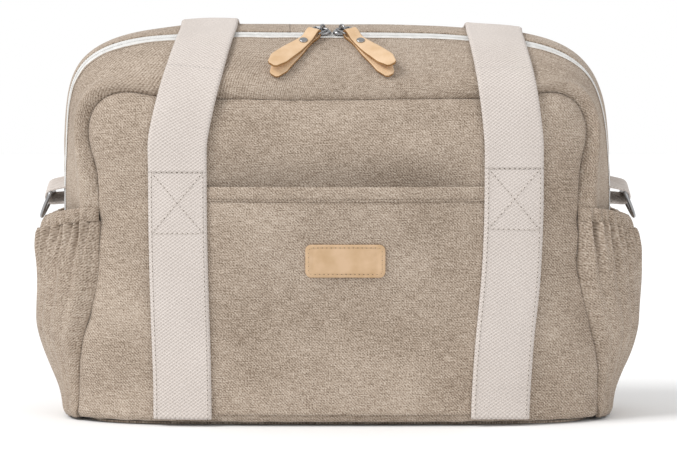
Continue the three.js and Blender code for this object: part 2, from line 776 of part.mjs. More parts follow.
function pullPlace(slider, s, w, height) {
  const start = RING.reach;
  const along = s + start;
  const x = slider.x + along * Math.sin(slider.lean) + w * Math.cos(slider.lean);
  const arc = SLIDER_ARC + along * Math.cos(slider.lean) - w * Math.sin(slider.lean);
  return overTop(x, arc, height);
}

function addPull(slider) {
  const line = pullLine();
  const rows = line.length - 1;
  const point = (u, v, skin) => {
    const i = Math.round(v * rows);
    const [s, h, layer] = line[i];
    const before = line[Math.max(i - 1, 0)];
    const after = line[Math.min(i + 1, rows)];
    const run = [after[0] - before[0], after[1] - before[1]];
    const length = Math.hypot(...run);
    const off = (skin ? 1 : -1) * (PULL.thick / 2);
    const tip = layer === 1 ? PULL.top : PULL.bottom;
    const fan = layer === 1 ? Math.sign(slider.lean) * 0.09 * Math.max(s - PULL.rivet, 0) : 0;
    const w = mix(-1, 1, u) * pullHalfWidth(Math.max(s, 0), tip) + fan;
    return pullPlace(slider, s + (off * run[1]) / length, w, h - (off * run[0]) / length);
  };
  addSheet(`pull_leather_${slider.place}`, COLOUR.leather, 4, rows, point);
  const low = 1.2 + 2 * PULL.thick + 0.6;
  const cap = (u, v, skin) => {
    const turn = 2 * Math.PI * u;
    const out = 2.9 * v;
    const crown = skin ? 1.1 - 0.5 * v * v : 0;
    return pullPlace(slider, PULL.rivet + out * Math.cos(turn), out * Math.sin(turn), low + crown);
  };
  addSheet(`pull_rivet_${slider.place}`, COLOUR.metal, 20, 3, cap, true);
}

// ---------- D-rings ----------
const TAB = { halfDepth: 12.5, y: -14, inner: 194.6, outer: 207.5, top: 169, bend: 159.5, foot: 151 };
const DRING = { x: 203.4, z: 159.5, reach: 19, half: 14.5, wire: 1.3, droop: 24 * DEGREE };

function addTab(place, side) {
  const outer = new THREE.Shape();
  const { inner, outer: out, top, bend, foot } = TAB;
  outer.moveTo(inner, foot);
  outer.lineTo(inner + 2.4, foot - 0.4);
  outer.quadraticCurveTo(out, bend - 6, out, bend);
  outer.quadraticCurveTo(out, bend + 3, inner + 2, top);
  outer.lineTo(inner, top);
  outer.closePath();
  const hole = new THREE.Path();
  hole.moveTo(inner + 1.6, foot + 2.6);
  hole.quadraticCurveTo(out - 2, bend - 4.4, out - 2, bend);
  hole.quadraticCurveTo(out - 2, bend + 2, inner + 1.6, top - 2.4);
  hole.closePath();
  outer.holes.push(hole);
  const options = { depth: 2 * TAB.halfDepth, bevelEnabled: false, curveSegments: 10 };
  const prism = welded(new THREE.ExtrudeGeometry(outer, options));
  const front = vec(0, TAB.y + TAB.halfDepth, 0);
  const stand = placeIn(prism, front, vec(side, 0, 0), vec(0, 0, 1), vec(0, -1, 0));
  const points = [];
  const position = stand.attributes.position;
  for (let i = 0; i < position.count; i += 1) points.push(vec().fromBufferAttribute(position, i));
  const triangles = [];
  const index = [...stand.index.array];
  for (let i = 0; i < index.length; i += 3) triangles.push(index.slice(i, i + 3));
  addSolid(`dring_tab_${place}`, COLOUR.webbing, points, triangles);
}

function addDring(place, side) {
  const out = vec(side * Math.sin(DRING.droop), 0, -Math.cos(DRING.droop));
  const bar = vec(side * DRING.x, TAB.y, DRING.z);
  const at = (s, y) => bar.clone().addScaledVector(out, s).add(vec(0, y, 0));
  const { reach, half } = DRING;
  const corners = [
    at(0, -half + 2), at(0, -half / 2), at(0, 0), at(0, half / 2), at(0, half - 2), at(1.2, half),
    at(reach * 0.45, half * 0.96), at(reach * 0.82, half * 0.6), at(reach, 0),
    at(reach * 0.82, -half * 0.6), at(reach * 0.45, -half * 0.96), at(1.2, -half),
  ];
  const normal = vec(0, 1, 0).cross(out).normalize();
  addWire(`dring_${place}`, wireLoop(corners, DRING.wire, 0.4), normal);
}

// ---------- assembly ----------
addBase();
addFacePanel('front_panel', -1);
addFacePanel('back_panel', 1);
addYokes();
addZip();
addLining();
addFrontPocket();
addLabel();
addHandles();
SLIDERS.forEach((slider) => {
  addSlider(slider);
  pullRing(slider);
  addPull(slider);
});
[['left', -1], ['right', 1]].forEach(([place, side]) => {
  addSideGusset(`side_panel_${place}`, side);
  addSidePocket(place, side);
  addTab(place, side);
  addDring(place, side);
});

export default group;
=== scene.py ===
"""The finished look of a soft canvas diaper bag with webbing handles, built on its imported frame.

Shapes are worked out in millimetres on one implicit body surface and written in metres.
"""
import math

import bmesh
import bpy
import numpy as np
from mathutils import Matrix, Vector


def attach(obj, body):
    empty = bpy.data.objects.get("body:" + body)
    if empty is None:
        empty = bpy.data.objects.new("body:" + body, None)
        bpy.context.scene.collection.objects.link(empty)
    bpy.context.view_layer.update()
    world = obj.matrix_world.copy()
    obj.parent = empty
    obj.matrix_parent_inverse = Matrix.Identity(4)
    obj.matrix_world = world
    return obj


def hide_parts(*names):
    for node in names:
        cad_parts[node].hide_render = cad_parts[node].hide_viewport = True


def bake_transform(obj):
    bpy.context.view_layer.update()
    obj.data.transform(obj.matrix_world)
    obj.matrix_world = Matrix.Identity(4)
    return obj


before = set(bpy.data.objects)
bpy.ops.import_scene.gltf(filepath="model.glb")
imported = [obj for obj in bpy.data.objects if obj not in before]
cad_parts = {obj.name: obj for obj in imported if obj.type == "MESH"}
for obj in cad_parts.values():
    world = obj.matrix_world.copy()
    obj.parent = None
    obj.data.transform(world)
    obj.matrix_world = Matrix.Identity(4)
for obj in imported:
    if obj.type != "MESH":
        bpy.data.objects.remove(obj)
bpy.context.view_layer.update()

MM = 0.001

# ---------- driving sizes, as in the CAD ----------
HEIGHT = 275.0
HALF_WIDTH = 193.0
DOME_RADIUS = 84.0
DOME_Z = HEIGHT - DOME_RADIUS
BASE_ROUND = 8.0
PLAN_POWER = 3.3
SHOULDER_Z = 158.0
SHOULDER_POWER = 5.2
FOOT_HALF_WIDTH = 195.0
GUSSET_TOP_Z = 141.0
SHELL = 1.6
WEBBING_WIDTH = 40.0
WEBBING_THICK = 2.0
STRAP_LIFT = 2.0
SEWN_TOP_Z = 177.0
QUARTER_ARC = DOME_RADIUS * math.pi / 2
SEAM_TOP_Z = 228.0
SEAM_HALF_WIDTH = 172.0
SEAM_CENTRE_Z = 130.0
SEAM_POWER = 12.0
PANEL_FOOT_Z = 2.0
ZIP_Y = -25.0
TAPE_EDGE = 6.6
COIL_HALF = 1.7
ZIP_SPLIT_LEFT = -33.0
ZIP_SPLIT_RIGHT = 41.0


def smooth(t):
    """Climbs from 0 to 1 with level ends as t goes from 0 to 1."""
    k = np.clip(t, 0.0, 1.0)
    return k * k * (3 - 2 * k)


def mix(a, b, t):
    return a + (b - a) * t


def rising(value, start, reach):
    """0 up to start, then climbing smoothly to 1 over the reach."""
    return smooth((value - start) / reach)


def ridge(value, middle, width):
    """A soft ridge, 1 at its middle."""
    return np.exp(-((value - middle) / width) ** 2)


def fade(distance, width):
    """1 at no distance, dying away over about the width."""
    return np.exp(-distance / width)


def columns(*parts):
    """Points from their three coordinates, each a number or an array."""
    return np.stack(np.broadcast_arrays(*[np.asarray(p, float) for p in parts]), axis=-1)


def unit(v):
    return v / np.maximum(np.linalg.norm(v, axis=-1, keepdims=True), 1e-12)


def distances(path):
    """How far along a path each of its points is."""
    return np.concatenate([[0], np.cumsum(np.linalg.norm(np.diff(path, axis=0), axis=1))])


def looked_up(wanted, reach, path):
    """The points of a path at the wanted distances along it."""
    return np.stack([np.interp(wanted, reach, path[:, k]) for k in range(path.shape[1])], -1)


def evenly(ring, count):
    """Evenly spaced points round a closed ring."""
    closed = np.vstack([ring, ring[:1]])
    reach = distances(closed)
    return looked_up(np.arange(count) * reach[-1] / count, reach, closed)


# ---------- smooth noise ----------
def lattice(i, j, k, seed):
    """A fixed random value from -1 to 1 for each corner of a grid."""
    n = (i * 73856093) ^ (j * 19349663) ^ (k * 83492791) ^ (seed * 2654435761)
    n = (n ^ (n >> 13)) * 1274126177
    return ((n ^ (n >> 16)) & 0xFFFF) / 32767.5 - 1.0


def noise(p, size, seed):
    """Smooth noise from -1 to 1 that varies over about size millimetres."""
    q = np.asarray(p, float) / size
    base = np.floor(q).astype(np.int64)
    f = smooth(q - base)
    total = 0.0
    for dx in (0, 1):
        for dy in (0, 1):
            for dz in (0, 1):
                weight = (np.where(dx, f[..., 0], 1 - f[..., 0])
                          * np.where(dy, f[..., 1], 1 - f[..., 1])
                          * np.where(dz, f[..., 2], 1 - f[..., 2]))
                corner = lattice(base[..., 0] + dx, base[..., 1] + dy, base[..., 2] + dz, seed)
                total = total + weight * corner
    return total


# ---------- the body's outer surface ----------
def base_inset(z):
    """How far the rounded bottom edge is drawn in."""
    drop = np.clip(BASE_ROUND - np.maximum(z, 0), 0, BASE_ROUND)
    return BASE_ROUND - np.sqrt(BASE_ROUND ** 2 - drop ** 2)


def half_width(z):
    low = mix(FOOT_HALF_WIDTH, HALF_WIDTH, smooth(z / SHOULDER_Z)) - base_inset(z)
    rise = np.clip((z - SHOULDER_Z) / (HEIGHT - SHOULDER_Z), 0, 1)
    high = HALF_WIDTH * (1 - rise ** SHOULDER_POWER) ** (1 / SHOULDER_POWER)
    return np.maximum(np.where(z < SHOULDER_Z, low, high), 1e-6)


def half_depth(z):
    low = DOME_RADIUS - base_inset(z)
    high = np.sqrt(np.maximum(DOME_RADIUS ** 2 - (z - DOME_Z) ** 2, 0))
    return np.maximum(np.where(z < DOME_Z, low, high), 1e-6)


def field(p):
    """Negative inside the body, positive outside."""
    z = p[..., 2]
    across = np.abs(p[..., 0]) / half_width(z)
    deep = np.abs(p[..., 1]) / half_depth(z)
    value = np.minimum(across, 9) ** PLAN_POWER + np.minimum(deep, 9) ** PLAN_POWER - 1
    return np.where((z <= 0) | (z >= HEIGHT), 1.0, value)


def along_ray(start, ray):
    """Where rays from inside the body meet its surface."""
    inside = np.zeros(ray.shape[:-1])
    outside = np.full(ray.shape[:-1], 2 * HALF_WIDTH)
    for _ in range(34):
        middle = (inside + outside) / 2
        within = field(start + ray * middle[..., None]) < 0
        inside = np.where(within, middle, inside)
        outside = np.where(within, outside, middle)
    return start + ray * inside[..., None]


def normal_at(p):
    """The body surface's outward direction."""
    step = 0.05
    q = p.copy()
    q[..., 2] = np.clip(q[..., 2], 2 * step, HEIGHT - 2 * step)
    slopes = []
    for axis in range(3):
        shift = np.zeros(3)
        shift[axis] = step
        slopes.append(field(q + shift) - field(q - shift))
    return unit(np.stack(slopes, axis=-1))


def hump(p, x, y, z, size):
    """A soft round swelling centred on a point."""
    away = (p[..., 0] - x) ** 2 + (p[..., 1] - y) ** 2 + (p[..., 2] - z) ** 2
    return np.exp(-away / size ** 2)


# Broad and small swells of the stuffed cloth, as (height, size, seed).
SWELLS = ((2.0, 78, 3), (1.0, 33, 5))
# A bulge and a hollow at the two shoulders, as (height, x, y, z, size).
SHOULDERS = ((3.0, -170, -20, 258, 32), (-5.0, 178, -10, 246, 42))
CROWN_HEIGHT = 4.0
# The cloth lies flat under the sliders' travel, between two x values and this far round it.
SLIDE_LEFT = -28.0
SLIDE_RIGHT = 20.0
SLIDE_REACH = 40.0


def relief(p):
    """The soft unevenness of stuffed cloth, the same for everything that lies on it."""
    x, y, z = p[..., 0], p[..., 1], p[..., 2]
    uneven = sum(height * noise(p, size, seed) for height, size, seed in SWELLS)
    from_travel = x - np.clip(x, SLIDE_LEFT, SLIDE_RIGHT)
    near_sliders = np.exp(-(from_travel ** 2 + (y - ZIP_Y) ** 2) / SLIDE_REACH ** 2)
    settle = rising(z, 4, 30) * (1 - near_sliders * rising(z, 220, 30))
    crown = rising(y, ZIP_Y + 6, 22) * (1 - rising(y, 32, 40)) * rising(z, 140, 60)
    shoulders = sum(height * hump(p, *place) for height, *place in SHOULDERS)
    return uneven * settle + CROWN_HEIGHT * crown + shoulders


def lift(p, height):
    """Surface points raised by a height and by the relief of the cloth."""
    n = normal_at(p)
    return p + n * (np.asarray(height) + relief(p))[..., None]


def on_body(q):
    """Points near the body moved on to it, along rays from its middle."""
    centre = columns(0, 0, np.minimum(q[..., 2], GUSSET_TOP_Z))
    return along_ray(centre, unit(q - centre))


def face_point(x, z, side):
    """A point of the front (side -1) or back (1) face."""
    share = np.minimum(np.abs(x) / half_width(z), 0.999) ** PLAN_POWER
    return columns(x, side * half_depth(z) * (1 - share) ** (1 / PLAN_POWER), z)


def over_top_base(x, arc):
    """A surface point by its x and its distance along the skin forward of the ridge."""
    x, arc = np.broadcast_arrays(np.asarray(x, float), np.asarray(arc, float))
    turn = np.clip(arc / DOME_RADIUS, -math.pi / 2, math.pi / 2)
    dome = along_ray(columns(x, 0, DOME_Z), columns(0 * x, -np.sin(turn), np.cos(turn)))
    down = DOME_Z - (np.abs(arc) - QUARTER_ARC)
    face = face_point(x, np.minimum(down, DOME_Z), -np.sign(arc))
    return np.where((np.abs(arc) > QUARTER_ARC)[..., None], face, dome)


def over_top(x, arc, height):
    """A point laid over the top, by its x, its distance forward of the ridge and its height."""
    return lift(over_top_base(x, arc), height)


# ---------- seams ----------
def panel_half_width(z):
    waist = SEAM_HALF_WIDTH - 4 * smooth((200 - z) / 50)
    return waist + 16 * smooth((112 - z) / 80) - 0.8 * base_inset(z)


# The corners of the panel seam are drawn up and out, as soft ears.
EAR = {"x": 153.0, "z": 205.0, "up": 6.0, "out": 5.0, "width": 24.0}


def panel_seam(t):
    """The rounded seam over the top of a face panel, as x and z, from right to left."""
    start = math.atan2(GUSSET_TOP_Z - SEAM_CENTRE_Z, float(panel_half_width(GUSSET_TOP_Z)))
    angle = mix(start, math.pi - start, t)
    rise = np.abs(np.sin(angle)) / (SEAM_TOP_Z - SEAM_CENTRE_Z)
    run = np.abs(np.cos(angle)) / SEAM_HALF_WIDTH
    radius = (rise ** SEAM_POWER + run ** SEAM_POWER) ** (-1 / SEAM_POWER)
    z = SEAM_CENTRE_Z + radius * np.sin(angle)
    lean = np.minimum(panel_half_width(z) / SEAM_HALF_WIDTH, 1)
    x = radius * np.cos(angle) * lean
    out = EAR["out"] * ridge(z, EAR["z"], EAR["width"]) * smooth(np.abs(x) / EAR["x"])
    up = EAR["up"] * ridge(np.abs(x), EAR["x"], EAR["width"])
    return x + np.sign(x) * out, z + up


def zip_angle(x):
    """The zip's angle about the seam centre at an x near the top."""
    return math.atan2(HEIGHT - 4 - SEAM_CENTRE_Z, x)


ZIP_START = math.atan2(GUSSET_TOP_Z + 0.4 - SEAM_CENTRE_Z, HALF_WIDTH)


def zip_base(angle, rearward):
    """A surface point beside the zip, by its angle and its distance behind the zip's middle."""
    angle, y = np.broadcast_arrays(np.asarray(angle, float), ZIP_Y + np.asarray(rearward, float))
    start = columns(0, y, SEAM_CENTRE_Z)
    return along_ray(start, columns(np.cos(angle), 0, np.sin(angle)))


def zip_point(angle, rearward, height):
    return lift(zip_base(angle, rearward), height)


def gusset_base(u, z, side):
    """A point of a side gusset, u running from its front seam to its back one."""
    u, z = np.broadcast_arrays(np.asarray(u, float), np.asarray(z, float))
    seam_x = panel_half_width(z) + 0.1
    seam_y = np.abs(face_point(seam_x, z, -1)[..., 1])
    reach = np.arctan2(seam_y, seam_x)
    turn = mix(-reach, reach, u)
    run = (np.cos(turn) / half_width(z)) ** PLAN_POWER
    depth = (np.abs(np.sin(turn)) / half_depth(z)) ** PLAN_POWER
    radius = (run + depth) ** (-1 / PLAN_POWER)
    return columns(side * radius * np.cos(turn), radius * np.sin(turn), z)


# ---------- mesh helpers ----------
def grid_faces(nu, nv, round_u, keep=None):
    """Quads of a grid with nu by nv cells, each vertex numbered row by row."""
    width = nu if round_u else nu + 1
    i, j = np.meshgrid(np.arange(nu), np.arange(nv))
    if keep is not None:
        i, j = i[keep], j[keep]
    i, j = i.ravel(), j.ravel()
    k = (i + 1) % width
    return np.stack([j * width + i, j * width + k, (j + 1) * width + k, (j + 1) * width + i], -1)


def rim_edges(faces):
    """Directed edges that only one face has."""
    edges = np.concatenate([faces[:, [a, (a + 1) % 4]] for a in range(4)])
    there = {tuple(e) for e in edges.tolist()}
    return np.array([e for e in edges.tolist() if (e[1], e[0]) not in there], int)


def new_mesh(name, points, faces, uv=None, materials=(), face_material=None, flat_from=None):
    """A mesh object in metres from millimetre points; degenerate corners are dropped."""
    mesh = bpy.data.meshes.new(name)
    mesh.from_pydata((np.asarray(points) * MM).tolist(), [], [list(map(int, f)) for f in faces])
    if uv is not None:
        layer = mesh.uv_layers.new(name="cloth")
        loops = np.empty(len(mesh.loops), int)
        mesh.loops.foreach_get("vertex_index", loops)
        layer.data.foreach_set("uv", (np.asarray(uv)[loops] * MM).ravel())
    for material in materials:
        mesh.materials.append(material)
    if face_material is not None:
        mesh.polygons.foreach_set("material_index", np.asarray(face_material, int))
    soft = np.ones(len(mesh.polygons), bool)
    soft[flat_from:] = flat_from is None
    mesh.polygons.foreach_set("use_smooth", soft)
    mesh.update()
    obj = bpy.data.objects.new(name, mesh)
    bpy.context.scene.collection.objects.link(obj)
    return obj


def face_out(points, faces):
    """The faces, turned round if they enclose a negative volume."""
    p = np.asarray(points)
    a, b, c, d = (p[faces[:, i]] for i in range(4))
    volume = np.einsum("ij,ij->i", a, np.cross(b, c)) + np.einsum("ij,ij->i", a, np.cross(c, d))
    return faces if volume.sum() > 0 else faces[:, ::-1]


def cloth(name, nu, nv, point, thick, kinds, uv=None, round_u=False, keep=None):
    """A closed sheet. point(u, v, depth) gives the skin that many millimetres inward.

    kinds names the sheet's material, and after a space its cut edge's, if that differs.
    """
    u, v = np.meshgrid(np.arange(nu if round_u else nu + 1) / nu, np.arange(nv + 1) / nv)
    u, v = u.ravel(), v.ravel()
    outer = point(u, v, 0.0)
    inner = point(u, v, thick)
    top = grid_faces(nu, nv, round_u, keep)
    count = len(outer)
    rim = rim_edges(top)
    walls = np.stack([rim[:, 1], rim[:, 0], rim[:, 0] + count, rim[:, 1] + count], -1)
    faces = np.concatenate([top, top[:, ::-1] + count, walls])
    points = np.concatenate([outer, inner])
    faces = face_out(points, faces)
    materials = [MATERIAL[kind] for kind in kinds.split()]
    is_edge = np.arange(len(faces)) >= 2 * len(top)
    face_material = is_edge if len(materials) > 1 else 0 * is_edge
    flat = measured(u, v, outer, nu, nv, round_u) if uv is None else uv(u, v)
    obj = new_mesh(name, points, faces, np.concatenate([flat, flat]), materials, face_material,
                   2 * len(top))
    tidy(obj)
    return obj


def measured(u, v, outer, nu, nv, round_u):
    """Flat cloth coordinates of a grid, from the lengths of its middle row and column."""
    width = nu if round_u else nu + 1
    grid = outer.reshape(nv + 1, width, 3)
    row = np.linalg.norm(np.diff(grid[nv // 2], axis=0), axis=1).sum()
    column = np.linalg.norm(np.diff(grid[:, width // 2], axis=0), axis=1).sum()
    return np.stack([u * row, v * column], -1)


def tidy(obj):
    """Merges doubled points and removes loose ones."""
    b = bmesh.new()
    b.from_mesh(obj.data)
    bmesh.ops.remove_doubles(b, verts=b.verts, dist=1e-6)
    loose = [v for v in b.verts if not v.link_faces]
    bmesh.ops.delete(b, geom=loose, context="VERTS")
    b.to_mesh(obj.data)
    b.free()
    obj.data.update()


def sweep(points, radius, plane, sides, closed=True):
    """Points and faces of a round wire along a path that lies across the plane vector."""
    path = np.asarray(points, float)
    ahead = np.roll(path, -1, 0) if closed else np.vstack([path[1:], 2 * path[-1:] - path[-2:-1]])
    behind = np.roll(path, 1, 0) if closed else np.vstack([2 * path[:1] - path[1:2], path[:-1]])
    tangent = unit(ahead - behind)
    normal = np.broadcast_to(np.asarray(plane, float), path.shape)
    side = unit(np.cross(tangent, normal))
    up = np.cross(side, tangent)
    turn = 2 * math.pi * np.arange(sides) / sides
    ring = (side[:, None] * np.cos(turn)[None, :, None] + up[:, None] * np.sin(turn)[None, :, None])
    out = path[:, None] + radius * ring
    n = len(path)
    faces = []
    for i in range(n if closed else n - 1):
        j = (i + 1) % n
        for k in range(sides):
            m = (k + 1) % sides
            faces.append([i * sides + k, j * sides + k, j * sides + m, i * sides + m])
    return out.reshape(-1, 3), np.array(faces)


def smooth_loop(corners, steps, closed=True):
    """A Catmull-Rom curve through the corners, in steps even in length."""
    c = np.asarray(corners, float)
    n = len(c)
    fine = []
    for i in range(n if closed else n - 1):
        near = [(i + k) % n if closed else min(max(i + k, 0), n - 1) for k in (-1, 0, 1, 2)]
        a, b, d, e = c[near]
        for t in np.arange(24) / 24:
            fine.append(0.5 * (2 * b + (d - a) * t + (2 * a - 5 * b + 4 * d - e) * t * t
                               + (3 * b - 3 * d + e - a) * t ** 3))
    fine = np.array(fine + ([fine[0]] if closed else [c[-1]]))
    reach = distances(fine)
    out = looked_up(np.linspace(0, reach[-1], steps + 1), reach, fine)
    return out[:-1] if closed else out


# ---------- stitches ----------
def stitch_row(path, ups, middles, length, radius):
    """Points and faces of short rounded stitches centred at given distances along a path."""
    reach = distances(path)
    sides = 6
    shares = (-0.5, -0.36, 0.0, 0.36, 0.5)
    turn = 2 * math.pi * np.arange(sides) / sides
    rings = []
    for share in shares:
        s = middles + share * length
        swell = math.sqrt(1 - (1.96 * share) ** 2)
        up = unit(looked_up(s, reach, ups))
        along = unit(looked_up(s + 0.2, reach, path) - looked_up(s - 0.2, reach, path))
        across = np.cross(along, up)
        centre = looked_up(s, reach, path) + up * radius * (swell - 0.5)
        ring = (across[:, None] * np.cos(turn)[None, :, None]
                + up[:, None] * np.sin(turn)[None, :, None])
        rings.append(centre[:, None] + radius * swell * ring)
    points = np.stack(rings, 1).reshape(-1, 3)
    faces = []
    for i in range(len(middles)):
        for r in range(len(shares) - 1):
            for k in range(sides):
                m = (k + 1) % sides
                start = (i * len(shares) + r) * sides
                faces.append([start + k, start + m, start + sides + m, start + sides + k])
    return points, np.array(faces)


def join(parts):
    """One set of points and faces from several."""
    points, faces, start = [], [], 0
    for p, f in parts:
        points.append(p)
        faces.append(f + start)
        start += len(p)
    return np.concatenate(points), np.concatenate(faces)


def needle_row(path_point, count, pitch, radius=0.27):
    """Stitches along a surface line, and dark dots between them: painted shade where the needle went
    through.
    """
    base, height = path_point(np.linspace(0, 1, count))
    return needle_path(lift(base, height), normal_at(base), pitch, radius)


def needle_path(path, ups, pitch, radius):
    """Stitches along a path, as points and faces, and the dark dots between them that paint the shade
    where the needle went through.
    """
    length = distances(path)[-1]
    count = max(int(length / pitch), 1)
    middles = (np.arange(count) + 0.5) * length / count
    holes = np.arange(count + 1) * length / count
    return (stitch_row(path, ups, middles, 0.72 * pitch, radius),
            stitch_row(path, ups, holes, 0.3 * pitch, 0.8 * radius))


def thread(name, rows, material, body, slot="canvas"):
    """One piece holding several rows of stitches and of dark dots painted as needle shade, riding on a
    body if one is given.
    """
    stitches = join([row[0] for row in rows])
    holes = join([row[1] for row in rows])
    points, faces = join([stitches, holes])
    kinds = np.concatenate([np.zeros(len(stitches[1]), int), np.ones(len(holes[1]), int)])
    obj = new_mesh(name, points, faces, materials=[material, MATERIAL["hole"]], face_material=kinds)
    return placed(obj, body, slot)


def placed(obj, body, slot, *nodes):
    """Rides the piece on a body, if one is given, and hides the CAD nodes it stands for."""
    if body:
        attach(obj, body)
    if nodes:
        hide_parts(*nodes)
    return obj


# ---------- materials ----------
def nodes_of(name):
    material = bpy.data.materials.new(name)
    material.use_nodes = True
    tree = material.node_tree
    shader = tree.nodes["Principled BSDF"]
    return material, tree, shader


def add(tree, kind, inputs=None, **settings):
    """A new node, each of its inputs linked to a socket or set to a value."""
    node = tree.nodes.new(kind)
    for key, value in settings.items():
        setattr(node, key, value)
    for key, value in (inputs or {}).items():
        socket = node.inputs[key]
        if isinstance(value, bpy.types.NodeSocket):
            tree.links.new(value, socket)
        else:
            socket.default_value = value
    return node


def maths(tree, operation, a, b=0.0):
    return add(tree, "ShaderNodeMath", {0: a, 1: b}, operation=operation).outputs[0]


def finish(tree, shader, colour, height, strength, distance, **plain):
    """Joins a colour and a bump to the shader, and sets the values that are the same all over."""
    tree.links.new(colour, shader.inputs["Base Color"])
    bump = add(tree, "ShaderNodeBump", {"Height": height, "Strength": strength, "Distance": distance})
    tree.links.new(bump.outputs[0], shader.inputs["Normal"])
    for name, value in plain.items():
        shader.inputs[name.replace("_", " ")].default_value = value


def stretched(tree, coordinate, scale, detail=2.0, rough=0.6):
    """Noise from 0 to 1, its grain set by a scale along each axis, per metre."""
    mapping = add(tree, "ShaderNodeMapping", {"Vector": coordinate, "Scale": scale})
    inputs = {"Vector": mapping.outputs[0], "Scale": 1.0, "Detail": detail, "Roughness": rough}
    return add(tree, "ShaderNodeTexNoise", inputs).outputs[0]


def ramp(tree, value, stops):
    """A colour ramp through stops of (place, colour)."""
    node = add(tree, "ShaderNodeValToRGB", {"Fac": value})
    elements = node.color_ramp.elements
    while len(elements) < len(stops):
        elements.new(0.5)
    for element, (place, colour) in zip(elements, stops):
        element.position = place
        element.color = (*colour, 1)
    return node.outputs[0]


def cloth_axes(tree):
    """The flat cloth coordinate, and its two parts, in metres."""
    flat = add(tree, "ShaderNodeUVMap", uv_map="cloth").outputs[0]
    separate = add(tree, "ShaderNodeSeparateXYZ", {"Vector": flat})
    return flat, separate.outputs[0], separate.outputs[1]


def wave(tree, value, period):
    return maths(tree, "SINE", maths(tree, "MULTIPLY", value, 2 * math.pi / period))


def weighted(tree, *pairs):
    """The sum of several values, each times a weight."""
    total = None
    for value, weight in pairs:
        part = maths(tree, "MULTIPLY", value, weight)
        total = part if total is None else maths(tree, "ADD", total, part)
    return total


# Repeats of the weaves, in metres.
TWILL_PITCH = 0.0022
BASKET_ACROSS = 0.0032
BASKET_ALONG = 0.0023


def canvas(name, dark, middle, light):
    """Linen-look canvas: slubbed warp and weft of mixed shades in a fine broken twill."""
    material, tree, shader = nodes_of(name)
    flat, across, along = cloth_axes(tree)
    weft = stretched(tree, flat, (110.0, 1150.0, 1.0), 3.0, 0.6)
    warp = stretched(tree, flat, (1150.0, 170.0, 1.0), 3.0, 0.6)
    speck = stretched(tree, flat, (1000.0, 1300.0, 1.0), 1.0, 0.5)
    broad = stretched(tree, flat, (16.0, 22.0, 1.0), 2.0, 0.5)
    twill = wave(tree, maths(tree, "ADD", across, along), TWILL_PITCH)
    shade = weighted(tree, (weft, 0.30), (warp, 0.22), (speck, 0.44), (twill, 0.038), (broad, 0.14))
    colour = ramp(tree, shade, [(0.44, dark), (0.56, middle), (0.69, light)])
    height = weighted(tree, (twill, 0.2), (weft, 0.9), (warp, 0.7), (speck, 0.9))
    finish(tree, shader, colour, height, 0.6, 0.0004, Roughness=0.92, Sheen_Weight=0.12,
           Sheen_Roughness=0.5, Specular_IOR_Level=0.2)
    return material


def webbing(name, dark, light):
    """Cotton webbing in a basket weave: staggered rounded grains in diagonal lines."""
    material, tree, shader = nodes_of(name)
    flat, across, along = cloth_axes(tree)
    grain = maths(tree, "MULTIPLY", wave(tree, across, BASKET_ACROSS), wave(tree, along, BASKET_ALONG))
    fibre = stretched(tree, flat, (1400.0, 500.0, 1.0), 3.0, 0.6)
    wear = stretched(tree, flat, (30.0, 18.0, 1.0), 2.0, 0.5)
    shade = weighted(tree, (grain, 0.16), (fibre, 0.55), (wear, 0.2))
    colour = ramp(tree, shade, [(0.16, dark), (0.56, light)])
    height = weighted(tree, (grain, 1.0), (fibre, 0.8))
    finish(tree, shader, colour, height, 0.6, 0.0005, Roughness=0.9, Sheen_Weight=0.15,
           Specular_IOR_Level=0.2)
    return material


def leather(name, dark, light, roughness):
    """Natural vegetable-tanned leather with a fine pebbled grain and uneven tone."""
    material, tree, shader = nodes_of(name)
    place = add(tree, "ShaderNodeTexCoord").outputs["Object"]
    tone = add(tree, "ShaderNodeTexNoise", {"Vector": place, "Scale": 95.0, "Detail": 5.0}).outputs[0]
    colour = ramp(tree, tone, [(0.32, dark), (0.68, light)])
    cells = add(tree, "ShaderNodeTexVoronoi", {"Vector": place, "Scale": 1500.0},
                feature="DISTANCE_TO_EDGE").outputs[0]
    fine = add(tree, "ShaderNodeTexNoise", {"Vector": place, "Scale": 2600.0, "Detail": 3.0}).outputs[0]
    height = maths(tree, "ADD", maths(tree, "MINIMUM", cells, 0.12), maths(tree, "MULTIPLY", fine, 0.15))
    finish(tree, shader, colour, height, 0.35, 0.0004, Roughness=roughness, Specular_IOR_Level=0.35)
    return material


def metal(name, shade, roughness):
    """Brushed nickel with faint scratches."""
    material, tree, shader = nodes_of(name)
    place = add(tree, "ShaderNodeTexCoord").outputs["Object"]
    scratch = stretched(tree, place, (2500.0, 300.0, 300.0), 4.0, 0.7)
    tone = ramp(tree, scratch, [(0.3, tuple(0.86 * c for c in shade)), (0.7, shade)])
    finish(tree, shader, tone, scratch, 0.12, 0.0002, Metallic=1.0, Roughness=roughness)
    return material


def plain_weave(name, dark, light, pitch):
    """A plain close weave, for lining, zip tape and thread."""
    material, tree, shader = nodes_of(name)
    place = add(tree, "ShaderNodeTexCoord").outputs["Object"]
    tone = add(tree, "ShaderNodeTexNoise", {"Vector": place, "Scale": 240.0, "Detail": 6.0}).outputs[0]
    colour = ramp(tree, tone, [(0.3, dark), (0.7, light)])
    axes = add(tree, "ShaderNodeSeparateXYZ", {"Vector": place}).outputs
    ridges = [wave(tree, axes[k], pitch) for k in range(3)]
    height = maths(tree, "ADD", ridges[0], maths(tree, "ADD", ridges[1], ridges[2]))
    finish(tree, shader, colour, height, 0.3, 0.0002, Roughness=0.88, Specular_IOR_Level=0.25)
    return material


